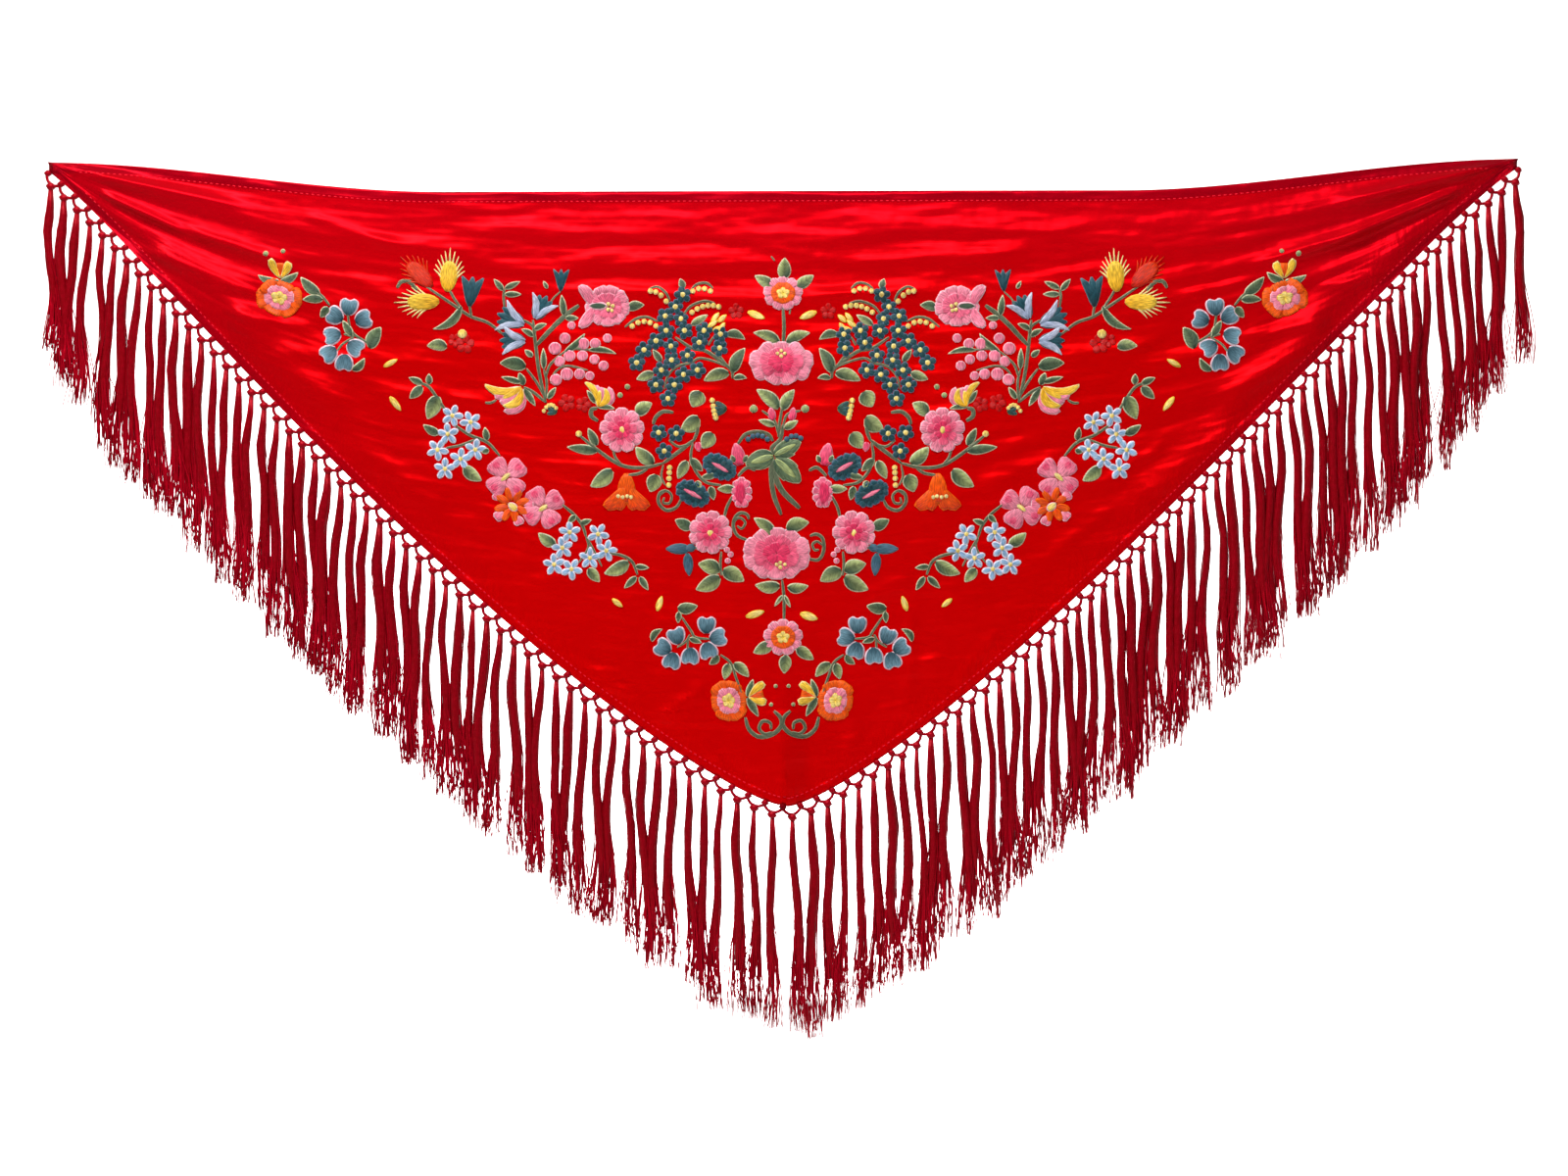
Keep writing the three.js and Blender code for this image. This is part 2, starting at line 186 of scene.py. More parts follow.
def bellies(x, z):
    """A sum of round swellings, each a bell curve across and down."""
    out = 0
    for across, down, half_wide, half_high, height in BELLIES:
        a = (x - MIDDLE - across) / half_wide
        d = (-z - down) / half_high
        out = out + height * np.exp(-a * a - d * d)
    return out


def press_crease(x, z):
    """A shallow roof along the middle, steep on its right, that rises out of the cloth to the tip."""
    lower = smooth((-z - PRESS_TOP) / (TIP_DROP - PRESS_TOP))
    flank = np.where(x <= MIDDLE, PRESS_FLANKS["left"], PRESS_FLANKS["right"])
    return PRESS_OUT * lower * np.clip(1 - np.abs(x - MIDDLE) / flank, 0, None)


def creases(x, z):
    """A sum of soft short ridges: each is a bell curve across its line and fades out along it. All are
    higher near the corners, where the cloth is tightest."""
    out = 0
    tight = 1 + CORNER_GAIN * (1 - smooth(corner_distance(x) / CORNER_GAIN_RUN))
    for middle_x, down, length, direction, height, half_width in CREASES:
        turn = np.radians(direction)
        dx, dz = x - middle_x, z + down
        along = dx * np.cos(turn) + dz * np.sin(turn)
        aside = dz * np.cos(turn) - dx * np.sin(turn)
        fade = smooth(CREASE_FADE * (0.5 - np.abs(along) / length))
        out = out + height * fade * np.exp(-((aside / half_width) ** 2))
    return tight * out


def satin_front(x, z):
    """Where the front of the cloth lies: what stands out of it goes towards -Y."""
    return -(swag_folds(x, z) + bellies(x, z) + press_crease(x, z) + creases(x, z))


def closed_sheets(front, back):
    """Faces of closed sheets from front and back grids of shape (sheets, rows, columns, 3): a quad
    per cell on either side and a quad per border edge between them. Rows run down a sheet and
    columns to the right as seen from the front. Gives the points and the quads."""
    sheets, rows, columns = front.shape[:3]
    points = np.concatenate([front.reshape(sheets, -1, 3), back.reshape(sheets, -1, 3)], axis=1)
    side = rows * columns
    grid = np.arange(side).reshape(rows, columns)
    a, b, c, d = grid[:-1, :-1], grid[1:, :-1], grid[1:, 1:], grid[:-1, 1:]
    front_quads = np.stack([a, b, c, d], axis=-1).reshape(-1, 4)
    border = np.concatenate([grid[:-1, 0], grid[-1, :-1], grid[:0:-1, -1], grid[0, :0:-1]])
    following = np.roll(border, -1)
    rim = np.stack([following, border, border + side, following + side], axis=-1)
    quads = np.concatenate([front_quads, front_quads[:, ::-1] + side, rim])
    quads = quads[None] + (np.arange(sheets) * 2 * side)[:, None, None]
    return points.reshape(-1, 3), quads.reshape(-1, 4)


def make_piece(name, points, faces, material, slot, **attributes):
    """A smooth mesh object in metres from points in millimetres and a list of arrays of faces, one
    array for each number of corners. Each attribute has three or four values a point."""
    mesh = bpy.data.meshes.new(name)
    corners = np.concatenate([np.full(len(f), f.shape[1]) for f in faces])
    mesh.vertices.add(len(points))
    mesh.vertices.foreach_set("co", (points * MM).astype(np.float32).ravel())
    mesh.loops.add(corners.sum())
    mesh.loops.foreach_set("vertex_index", np.concatenate([f.ravel() for f in faces]).astype(np.int32))
    mesh.polygons.add(len(corners))
    mesh.polygons.foreach_set("loop_start", (np.cumsum(corners) - corners).astype(np.int32))
    for title, values in attributes.items():
        kind, field = ("FLOAT_VECTOR", "vector") if values.shape[1] == 3 else ("FLOAT_COLOR", "color")
        layer = mesh.attributes.new(title, kind, "POINT")
        layer.data.foreach_set(field, values.astype(np.float32).ravel())
    mesh.update(calc_edges=True)
    mesh.shade_smooth()
    mesh.materials.append(material)
    piece = bpy.data.objects.new(name, mesh)
    bpy.context.collection.objects.link(piece)
    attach(piece, "root")
    return piece


class Socket:
    """One output of a node. Arithmetic on it adds Math nodes and gives the last one's output."""

    def __init__(self, finish, output):
        self.finish = finish
        self.output = output

    def maths(self, operation, first, second):
        return self.finish.node("ShaderNodeMath", {"operation": operation}, {0: first, 1: second})

    def __add__(self, other):
        return self.maths("ADD", self, other)

    def __radd__(self, other):
        return self.maths("ADD", other, self)

    def __sub__(self, other):
        return self.maths("SUBTRACT", self, other)

    def __rsub__(self, other):
        return self.maths("SUBTRACT", other, self)

    def __mul__(self, other):
        return self.maths("MULTIPLY", self, other)

    def __rmul__(self, other):
        return self.maths("MULTIPLY", other, self)


class Finish:
    """A material with a Principled shader. Words and values set the shader's own sockets."""

    def __init__(self, name, sockets):
        self.material = bpy.data.materials.new(name)
        self.material.use_nodes = True
        self.tree = self.material.node_tree
        self.shader = self.tree.nodes["Principled BSDF"]
        for socket, value in sockets.items():
            self.shader.inputs[socket].default_value = value

    def node(self, kind, settings, inputs, output=0):
        """Adds a node: its settings first, a ramp's stops among them, then values or links."""
        node = self.tree.nodes.new(kind)
        for setting, value in settings.items():
            if setting == "stops":
                while len(node.color_ramp.elements) < len(value):
                    node.color_ramp.elements.new(1)
                for element, (position, colour) in zip(node.color_ramp.elements, value):
                    element.position = position
                    element.color = (*colour, 1)
            else:
                setattr(node, setting, value)
        for socket, value in inputs.items():
            if isinstance(value, Socket):
                self.tree.links.new(value.output, node.inputs[socket])
            else:
                node.inputs[socket].default_value = value
        return Socket(self, node.outputs[output])

    def mix(self, factor, first, second, blend="MIX"):
        """A blend of two colours: the factor is 0 for the first and 1 for the second."""
        settings = {"data_type": "RGBA", "blend_type": blend}
        first, second = [(*c, 1) if isinstance(c, tuple) else c for c in (first, second)]
        return self.node("ShaderNodeMix", settings, {0: factor, 6: first, 7: second}, output=2)

    def noise(self, vector, scale, detail=2.0):
        return self.node("ShaderNodeTexNoise", {}, {"Vector": vector, "Scale": scale, "Detail": detail})

    def feed(self, socket, value):
        self.tree.links.new(value.output, self.shader.inputs[socket])

    def raise_by(self, height, millimetres):
        """Bump from a height of 0 to 1 that stands for so many millimetres."""
        settings = {"Height": height, "Distance": millimetres * MM, "Strength": 1.0}
        self.feed("Normal", self.node("ShaderNodeBump", {}, settings))

    def place(self):
        """Where a point lies, in metres."""
        return self.node("ShaderNodeTexCoord", {}, {}, output=3)

    def attribute(self, name, output=0):
        return self.node("ShaderNodeAttribute", {"attribute_name": name}, {}, output)

    def part(self, vector, axis):
        """One number of a vector, by its letter."""
        return self.node("ShaderNodeSeparateXYZ", {}, {"Vector": vector}, "XYZ".index(axis))

    def stretched(self, vector, scale):
        return self.node("ShaderNodeMapping", {}, {"Vector": vector, "Scale": scale})

    def ramp(self, value, low, high, start, end):
        """The value carried over from the range low to high to the range start to end."""
        return self.node("ShaderNodeMapRange", {}, {0: value, 1: low, 2: high, 3: start, 4: end})


# The plain red of the satin, a cooler red for the painted sheen near its top and for random patches, and a
# dark red for painted shade.
SATIN_RED = (0.5, 0.0, 0.0)
SATIN_CRIMSON = (0.48, 0.0, 0.004)
SATIN_SHADED = (0.26, 0.0, 0.006)
WEAVE_SCALE = (30, 30, 900)
GATHER_SCALE = (130, 130, 34)
SATIN_RELIEF = 14.0

satin_finish = Finish(
    "red satin",
    {"Metallic": 0.35, "Specular IOR Level": 0.3, "Specular Tint": (1, 0.02, 0.015, 1)},
)
place = satin_finish.place()
across = satin_finish.part(place, "X")
from_middle = satin_finish.node("ShaderNodeMath", {"operation": "ABSOLUTE"}, {0: across - MIDDLE * MM})
from_edges = satin_finish.attribute("edges", output=1)
from_top, from_side, level = [satin_finish.part(from_edges, axis) for axis in "XYZ"]

# The red is cooler near the top edge, a painted sheen, and in random cloudy patches. Painted shade
# darkens it low at the sides and along the top and side hems, on the side hems most towards the corners.
upper = satin_finish.ramp(satin_finish.part(place, "Z"), -0.2, -0.05, 0.0, 0.8)
cloud = satin_finish.noise(place, 4.0, 3.0)
open_cloth = satin_finish.mix(upper + 0.3 * cloud, SATIN_RED, SATIN_CRIMSON)
# Painted shade: the red darkens low at the sides, far from the middle.
far_out = satin_finish.ramp(from_middle, 0.3, 0.6, 0.0, 0.4)
low_down = satin_finish.ramp(from_side, 10.0, 190.0, 1.0, 0.0)
side_shaded = satin_finish.mix(far_out * low_down, open_cloth, SATIN_SHADED)
# Painted shade along the top hem and the side hems, on the side hems stronger towards the corners.
top_band = satin_finish.ramp(from_top, 9.0, 13.0, 1.0, 0.0)
side_band = satin_finish.ramp(from_side, 7.0, 11.0, 1.0, 0.0)
hem_shade_share = satin_finish.ramp(from_middle, 0.3, 0.7, 0.1, 0.75)
hem_shaded = satin_finish.mix(top_band * 0.8 + side_band * hem_shade_share, side_shaded, SATIN_SHADED)
satin_finish.feed("Base Color", hem_shaded)

# Fine relief: the weave, ripples that run with the swags, puckers and small gathers beside the seams.
weave = satin_finish.noise(satin_finish.stretched(place, WEAVE_SCALE), 1.0, 2.0)
along_swags = satin_finish.node("ShaderNodeCombineXYZ", {}, {"X": across * 7.0, "Z": level * 0.03})
ripple = satin_finish.noise(along_swags, 1.0, 2.0)
loose = satin_finish.ramp(from_middle, 0.3, 0.75, 0.7, 0.22)
pucker = satin_finish.noise(place, 55.0, 1.0)
gathers = satin_finish.noise(satin_finish.stretched(place, GATHER_SCALE), 1.0)
beside_seam = satin_finish.ramp(from_side, 8.0, 48.0, 0.11, 0.0)
satin_finish.feed("Roughness", 0.27 + 0.14 * weave)
uneven = weave * 0.003 + ripple * loose + pucker * 0.08 + gathers * beside_seam
satin_finish.raise_by(uneven + 0.05 * (top_band + side_band), SATIN_RELIEF)

u = np.linspace(0, 1, SATIN_COLUMNS + 1)
columns_x = SPAN * u
share = np.linspace(0, 1, SATIN_ROWS + 1)[:, None]
grid_x = np.broadcast_to(columns_x, (SATIN_ROWS + 1, SATIN_COLUMNS + 1))
grid_z = top_edge(grid_x) + (lower_edge(grid_x) - top_edge(grid_x)) * share
grid_y = satin_front(grid_x, grid_z)
satin_face = np.stack([grid_x, grid_y, grid_z], axis=-1)[None]
satin_points, satin_quads = closed_sheets(satin_face, satin_face + (0, SATIN_THICKNESS, 0))
down_from_top = top_edge(grid_x) - grid_z
lower_slope = np.gradient(lower_edge(columns_x), columns_x)
up_from_side = (grid_z - lower_edge(grid_x)) / np.hypot(1, lower_slope)
swag_level = down_from_top / (1 - np.exp(-np.maximum(corner_distance(grid_x), 1) / SWAG_REACH))
edges = np.stack([down_from_top, up_from_side, swag_level], axis=-1).reshape(-1, 3)
edges = np.concatenate([edges, edges])
satin = make_piece("satin", satin_points, [satin_quads], satin_finish.material, "satin", edges=edges)
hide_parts("satin_panel")


# Hems
# The edges are turned to the back, the long one 11 wide and the short ones 9, and sewn down with a
# row of small stitches that shows on the front.
HEM_TOP = 11
HEM_SIDE = 9
HEM_START = 36
HEM_THICKNESS = 0.5
HEM_CLEARANCE = 0.12
HEM_COLUMNS = {"top": 301, "side": 201}
HEM_ROWS = np.linspace(0, 1, 4)[:, None]
FAR_FROM_EDGES = 100.0
EDGE_SAMPLES = 4000
EDGE_NEAR = 6


def edge_path(start, end, steps):
    """Points at equal lengths along the lower edge from one x to another, with the way outward from
    the cloth at each: the direction along the edge turned by a quarter."""
    x = np.linspace(start, end, EDGE_SAMPLES)
    z = lower_edge(x)
    length = np.concatenate([[0], np.cumsum(np.hypot(np.diff(x), np.diff(z)))])
    even = np.interp(np.linspace(0, length[-1], steps), length, x)
    before, after = np.clip(even - EDGE_NEAR, 0, SPAN), np.clip(even + EDGE_NEAR, 0, SPAN)
    along = np.stack([after - before, lower_edge(after) - lower_edge(before)], axis=-1)
    along /= np.linalg.norm(along, axis=1, keepdims=True)
    outward = np.stack([along[:, 1], -along[:, 0]], axis=-1)
    return even, lower_edge(even), outward


def hem_band(name, node, x, z):
    """A thin closed band on the back of the cloth over a grid of x and z."""
    y = satin_front(x, z) + SATIN_THICKNESS + HEM_CLEARANCE
    face = np.stack([x, y, z], axis=-1)[None]
    points, quads = closed_sheets(face, face + (0, HEM_THICKNESS, 0))
    edges = np.full((len(points), 3), FAR_FROM_EDGES)
    band = make_piece(name, points, [quads], satin_finish.material, "satin", edges=edges)
    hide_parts(node)


x = np.linspace(HEM_START, SPAN - HEM_START, HEM_COLUMNS["top"]) * np.ones_like(HEM_ROWS)
hem_band("hem_top", "top_hem", x, top_edge(x) - HEM_TOP * HEM_ROWS)

for name, node, start, end in (
    ("hem_left", "left_hem", HEM_START, MIDDLE - 0.5),
    ("hem_right", "right_hem", MIDDLE + 0.5, SPAN - HEM_START),
):
    x, z, outward = edge_path(start, end, HEM_COLUMNS["side"])
    inward = HEM_SIDE * (1 - HEM_ROWS)
    hem_band(name, node, x - outward[:, 0] * inward, z - outward[:, 1] * inward)


# Hem stitches
# A row of small red stitches on the front of the cloth, over the inner edge of each hem. Each one is
# a short raised thread that dips into the satin at both ends.
STITCH_LENGTH = 3
STITCH_STEP = 6.4
STITCH_WIDTH = 1.2
STITCH_RISE = 0.45
STITCH_SIDE_SHARE = 0.45
STITCH_SUNK = 0.2
SIDE_STITCHES = 165
STITCH_DARK = (0.44, 0.004, 0.012)
STITCH_LIGHT = (0.8, 0.012, 0.028)

stitch_finish = Finish("red sewing thread", {"Roughness": 0.5, "Specular Tint": (1, 0.06, 0.09, 1)})
twist = stitch_finish.noise(stitch_finish.place(), 900.0, 1.0)
stitch_finish.feed("Base Color", stitch_finish.mix(twist, STITCH_DARK, STITCH_LIGHT))
stitch_finish.raise_by(twist, 0.3)


def stitch_row(name, x, z, along):
    """Little strips centred on points of the cloth and turned along the given directions. The rise is
    a parabola along a strip and lower at its sides."""
    t = np.linspace(-0.5, 0.5, 5)
    width = np.array([-0.5, 0, 0.5])[:, None]
    right, up = along.T[:, :, None, None]
    px = x[:, None, None] + right * STITCH_LENGTH * t - up * STITCH_WIDTH * width
    pz = z[:, None, None] + up * STITCH_LENGTH * t + right * STITCH_WIDTH * width
    rise = STITCH_RISE * (1 - (2 * t) ** 2) * np.where(width == 0, 1, STITCH_SIDE_SHARE)
    py = satin_front(px, pz)
    front = np.stack([px, py - rise, pz], axis=-1)[:, ::-1]
    back = np.stack([px, py + STITCH_SUNK, pz], axis=-1)[:, ::-1]
    points, quads = closed_sheets(front, back)
    make_piece(name, points, [quads], stitch_finish.material, "satin")


stitches = int(SPAN / STITCH_STEP)
x = np.linspace(HEM_START, SPAN - HEM_START, stitches)
slope = (top_edge(x + 1) - top_edge(x - 1)) / 2
along = np.stack([np.ones_like(x), slope], axis=-1)
stitch_row("stitches_top", x, top_edge(x) - HEM_TOP, along)
for side, start, end in (("left", HEM_START, MIDDLE), ("right", MIDDLE, SPAN - HEM_START)):
    x, z, outward = edge_path(start, end, SIDE_STITCHES)
    along = np.stack([-outward[:, 1], outward[:, 0]], axis=-1)
    stitch_row(f"stitches_{side}", x - HEM_SIDE * outward[:, 0], z - HEM_SIDE * outward[:, 1], along)


# Leaves
# Padded satin stitch in two greens, worked through the cloth so that it stands up on both faces. Each
# leaf is split by a sunk midrib, darkened along it with painted shade, and edged in a paler floss. Nearly
# every one has a twin across the middle of the shawl.
WORK_MIDDLE = 799
WORK_GAIN = 1.4


def dyed(red, green, blue):
    """The colour to give a floss that looks like this screen colour, 0 to 255, in the studio light:
    the screen curve undone and the light's gain taken out."""
    screen = np.array([red, green, blue]) / 255
    return screen**2.2 / WORK_GAIN


# Streaks of the floss, long in the direction of the stitches: across, along and out of them.
STREAK_SCALE = (0.9, 0.16, 0.0)
FINE_STREAK_SCALE = (2.6, 0.12, 0.0)
FLOSS_RELIEF = 0.5

floss_finish = Finish("silk floss", {"Specular IOR Level": 0.18})
inner_colour = floss_finish.attribute("inner")
rim_colour = floss_finish.attribute("rim")
rim_width = floss_finish.attribute("rim", output=3)
thread = floss_finish.attribute("thread", output=1)
from_edge = floss_finish.part(thread, "Z")
rim_mask = floss_finish.ramp(from_edge, rim_width * 0.7, rim_width * 1.3, 1.0, 0.0)
streak = floss_finish.noise(floss_finish.stretched(thread, STREAK_SCALE), 1.0, 1.5)
fine_streak = floss_finish.noise(floss_finish.stretched(thread, FINE_STREAK_SCALE), 1.0, 0.0)
body_colour = floss_finish.mix(rim_mask, inner_colour, rim_colour)
shade = floss_finish.ramp(streak, 0.3, 0.7, 0.55, 1.3)
floss_finish.feed("Base Color", floss_finish.mix(1.0, body_colour, shade, "MULTIPLY"))
floss_finish.feed("Roughness", 0.36 + 0.2 * fine_streak)
floss_finish.raise_by(fine_streak * 0.6 + streak * 0.4, FLOSS_RELIEF)


def scatter(i, k):
    """A fixed scatter from -1 to 1 for item number i and purpose k: the fraction of a large sine."""
    s = np.sin(i * 12.9898 + k * 78.233) * 43758.5453
    return 2 * (s - np.floor(s)) - 1


def joined(parts):
    """Several lots of points and faces as one, with the faces renumbered."""
    offset = 0
    points, faces = [], []
    for lot, *lot_faces in parts:
        points.append(lot)
        faces += [f + offset for f in lot_faces]
        offset += len(lot)
    return np.concatenate(points), faces


def both(rows):
    """Rows of across, down, direction, length, width and bend, followed by their mirror twins."""
    rows = np.asarray(rows, float)
    twins = rows * (-1, 1, -1, 1, 1, -1) + (0, 0, 180, 0, 0, 0)
    return np.concatenate([rows, twins])


def cushions(px, pz, rise, lift, inner, rim, thread):
    """Closed low cushions over grids of x and z. The front stands out of the cloth by the lift and the
    rise, and the back by the lift and half the rise."""
    y = satin_front(px, pz)
    front = np.stack([px, y - lift - rise, pz], axis=-1)
    back = np.stack([px, y + SATIN_THICKNESS + lift + rise / 2, pz], axis=-1)
    points, quads = closed_sheets(front, back)
    looks = []
    for values in (inner, rim, thread):
        size = values.shape[-1]
        values = np.broadcast_to(values, (*px.shape, size)).reshape(len(px), -1, size)
        looks.append(np.concatenate([values, values], axis=1).reshape(-1, size))
    return points, quads, *looks


# A petal's grid lies between these shares of its length. From one petal to the next the streaks of its
# floss shift and its shade varies. A notch takes less from the sides of a tip than from its middle, and
# the stitches of a leaf slant from the midrib.
PETAL_START = 0.03
PETAL_END = 0.97
STREAK_SHIFT = 7.3
SHADE_SPREAD = 0.1
NOTCH_SIDES = 0.45
STITCH_SLANT = 0.7

# Shapes of petals, as the powers of s towards the root and of 1 - s towards the tip.
ROUND = (0.5, 0.5)
BLUNT = (0.7, 0.3)
POINTED = (0.5, 0.7)


def petals(rows, look, shape=(0.6, 0.5), notch=0.0, dome=1.0, lift=0.4, groove=0.0, rim_width=1.0,
           slant=0.0, stagger=0.15, cells=(5, 4)):
    """One cushion a row of across, down, direction, length, width and bend. With s from root to tip,
    half the width goes with s to one power times 1 - s to another. The tip is drawn in by the notch,
    the rise is a half circle across, less the groove, and the colour runs from root to tip. Each
    petal lies one stagger higher than the last, and every third starts again, so that they overlap."""
    rows = np.asarray(rows, float)
    root, tip, rim = look
    across, down, direction, length, width, bend = rows.T[:, :, None, None]
    s = np.linspace(PETAL_START, PETAL_END, cells[0] + 1)[:, None]
    v = np.linspace(-1, 1, cells[1] + 1)
    rise, fall = shape
    widest = rise / (rise + fall)
    profile = (s / widest) ** rise * ((1 - s) / (1 - widest)) ** fall
    half = width / 2 * profile
    lobed = notch * (1 - v * v) ** 3 + NOTCH_SIDES * notch * v * v
    along = length * s * (1 - lobed * s**3)
    aside = half * v + bend / 100 * length * 4 * s * (1 - s)
    turn = np.radians(direction)
    px = WORK_MIDDLE + across + along * np.cos(turn) - aside * np.sin(turn)
    pz = -down + along * np.sin(turn) + aside * np.cos(turn)
    bulge = dome * np.sqrt(np.clip(1 - v * v, 0, 1)) * profile**0.5 * (1 - groove * (v == 0))
    odd = 1 + SHADE_SPREAD * scatter(np.arange(len(rows)), 3)[:, None, None, None]
    share = np.clip(s + slant * v, 0, 1)[..., None] * np.ones((len(rows), 1, 1, 1))
    inner = (root + (tip - root) * share) * odd
    # Along the sunk midrib the colour is darkened by the groove: painted shade.
    inner = inner * (1 - groove * (v == 0))[..., None]
    inner = np.concatenate([inner, np.ones_like(inner[..., :1])], axis=-1)
    edge = np.minimum(half * (1 - np.abs(v)), length * (PETAL_END - s))
    across_stitch = STITCH_SLANT * (along - np.abs(half * v)) if groove else half * v
    number = np.arange(len(rows))[:, None, None]
    shift = STREAK_SHIFT * number
    stitch = np.stack([across_stitch + shift, along + shift, edge + 0 * along], axis=-1)
    edging = np.array([*rim, rim_width])
    return cushions(px, pz, bulge, lift + stagger * (number % 3), inner, edging, stitch)


def embroider(name, lots):
    """One piece of several lots of cushions."""
    points, faces = joined([lot[:2] for lot in lots])
    inner, rim, thread = [np.concatenate([lot[k] for lot in lots]) for k in (2, 3, 4)]
    looks = {"inner": inner, "rim": rim, "thread": thread}
    make_piece(name, points, faces, floss_finish.material, "satin", **looks)


LEAF_DARK = dyed(64, 86, 66)
LEAF_MID = dyed(108, 126, 90)
LEAF_LIGHT = dyed(176, 188, 120)
LEAF_RIM = dyed(206, 208, 170)

# The colours of a petal or a leaf at its root, at its tip and along its edge.
DARK_GREEN = (LEAF_DARK, LEAF_MID, LEAF_RIM)
PALE_GREEN = (LEAF_DARK, LEAF_LIGHT, LEAF_RIM)
BUD_GREEN = (LEAF_MID, LEAF_LIGHT, LEAF_RIM)

# Across from the middle, down, direction in degrees, length, width and bend in hundredths of the length.
LEAVES = [
    (-503, 144, 138, 29, 12, 6), (-499, 150, 180, 23, 10, -5), (-493, 158, 228, 15, 10, 0),
    (-546, 130, 163, 26, 9, 12), (-546, 130, 28, 22, 9, -10), (-468, 190, 120, 21, 9, 0),
    (-449, 203, 62, 27, 16, 8), (-468, 227, 45, 20, 9, -14), (-348, 156, 218, 42, 10, 16),
    (-259, 226, 92, 24, 7, 0), (-278, 223, 172, 30, 15, -6), (-271, 212, 140, 12, 7, 0),
    (-303, 140, 130, 17, 7, 0), (-302, 138, 25, 19, 7, 0), (-302, 144, 0, 19, 7, 0),
    (-255, 138, 120, 10, 5, 0), (-237, 168, 97, 24, 8, 0), (-236, 170, 0, 15, 7, 0),
    (-169, 160, 12, 20, 11, 8), (-237, 207, 42, 31, 8, -8), (-211, 205, -8, 32, 7, 8),
    (-270, 190, 150, 16, 7, -6), (-270, 183, 25, 16, 7, 6), (-283, 240, 165, 24, 7, 0),
    (-281, 246, -57, 24, 8, 0), (-281, 243, 110, 15, 9, 0), (-255, 258, 55, 16, 7, 0),
    (-202, 263, 125, 18, 7, 0), (-202, 266, -8, 21, 7, 5), (-391, 241, 157, 17, 8, 0),
    (-384, 242, 92, 12, 8, 0), (-391, 244, 223, 20, 11, 0), (-373, 296, 150, 21, 10, 5),
    (-321, 303, 100, 15, 8, 0), (-319, 313, 200, 9, 7, 0), (-224, 384, 225, 13, 7, 0),
    (-220, 394, 20, 14, 7, 0), (-160, 440, -6, 16, 7, 0), (-158, 451, 223, 19, 8, 0),
    (-155, 451, -57, 18, 8, 0), (-200, 315, 172, 35, 11, 0), (-201, 309, 117, 22, 10, 0),
    (-100, 323, -45, 20, 10, 0), (-72, 341, 190, 17, 8, 0), (-78, 353, -75, 16, 9, 0),
    (-62, 188, -15, 23, 10, 15), (-54, 230, 63, 31, 14, 8), (-53, 236, 0, 15, 7, 12),
    (-131, 218, 125, 17, 8, 0), (-107, 138, 110, 12, 8, 0), (-112, 489, -95, 13, 7, 0),
    (-142, 522, 48, 19, 8, 18), (-69, 536, 225, 15, 9, 10), (-101, 518, -20, 15, 7, 0),
    (-38, 582, 72, 21, 8, 0), (-38, 582, -60, 25, 9, 0), (-51, 327, 120, 9, 7, 0),
    (-42, 327, 60, 9, 7, 0), (-98, 399, 152, 21, 13, 0), (-114, 486, 8, 23, 13, -5),
]
PALE_LEAVES = [
    (-364, 201, 178, 23, 13, -8), (-374, 254, 245, 29, 17, 0), (-347, 331, -38, 26, 14, -6),
    (-246, 417, 145, 24, 13, 6), (-211, 442, -50, 20, 12, 0), (-166, 435, 205, 31, 15, 6),
    (-159, 275, 35, 22, 15, 6), (-139, 329, 137, 28, 15, 5), (-184, 335, 217, 31, 17, 6),
    (-136, 340, 250, 21, 17, 0), (-90, 278, 215, 25, 18, 8), (-75, 295, 235, 21, 17, 0),
    (-88, 250, 240, 20, 19, 0), (-103, 325, 243, 23, 12, 0), (-51, 356, 180, 20, 10, 0),
    (-93, 347, -65, 11, 8, 0), (-67, 445, 162, 26, 17, -5), (-65, 444, -27, 27, 17, 5),
    (-67, 451, 208, 31, 17, 5), (-57, 230, 197, 30, 14, -8), (-139, 230, 200, 21, 11, 0),
    (-99, 178, 32, 22, 9, 0), (-58, 545, -105, 19, 11, 0), (-53, 545, -42, 23, 12, 6),
]
MIDDLE_LEAVES = [
    (2, 128, 88, 24, 15, 0), (-7, 137, 150, 27, 13, 0), (15, 137, 35, 24, 13, 0),
    (-2, 197, 160, 32, 12, -8), (4, 197, 22, 29, 12, 8), (-3, 269, 140, 33, 15, -6),
    (0, 271, 60, 27, 13, 6), (-7, 287, 163, 20, 8, 0), (2, 291, 31, 18, 9, 0),
    (-8, 409, 137, 32, 14, -8), (4, 400, 17, 27, 16, 8), (-2, 461, 178, 28, 14, 8),
    (5, 463, 5, 24, 12, -8), (1, 471, 233, 16, 5, 0), (2, 471, -63, 16, 5, 0),
    (-10, 524, 205, 24, 14, 0), (15, 528, -35, 24, 13, 0), (4, 536, -95, 21, 14, 0),
]
LOBED_LEAVES = [(-9, 320, 197, 33, 22, 0), (-9, 320, 28, 34, 18, 0), (-8, 323, -43, 39, 22, 0)]

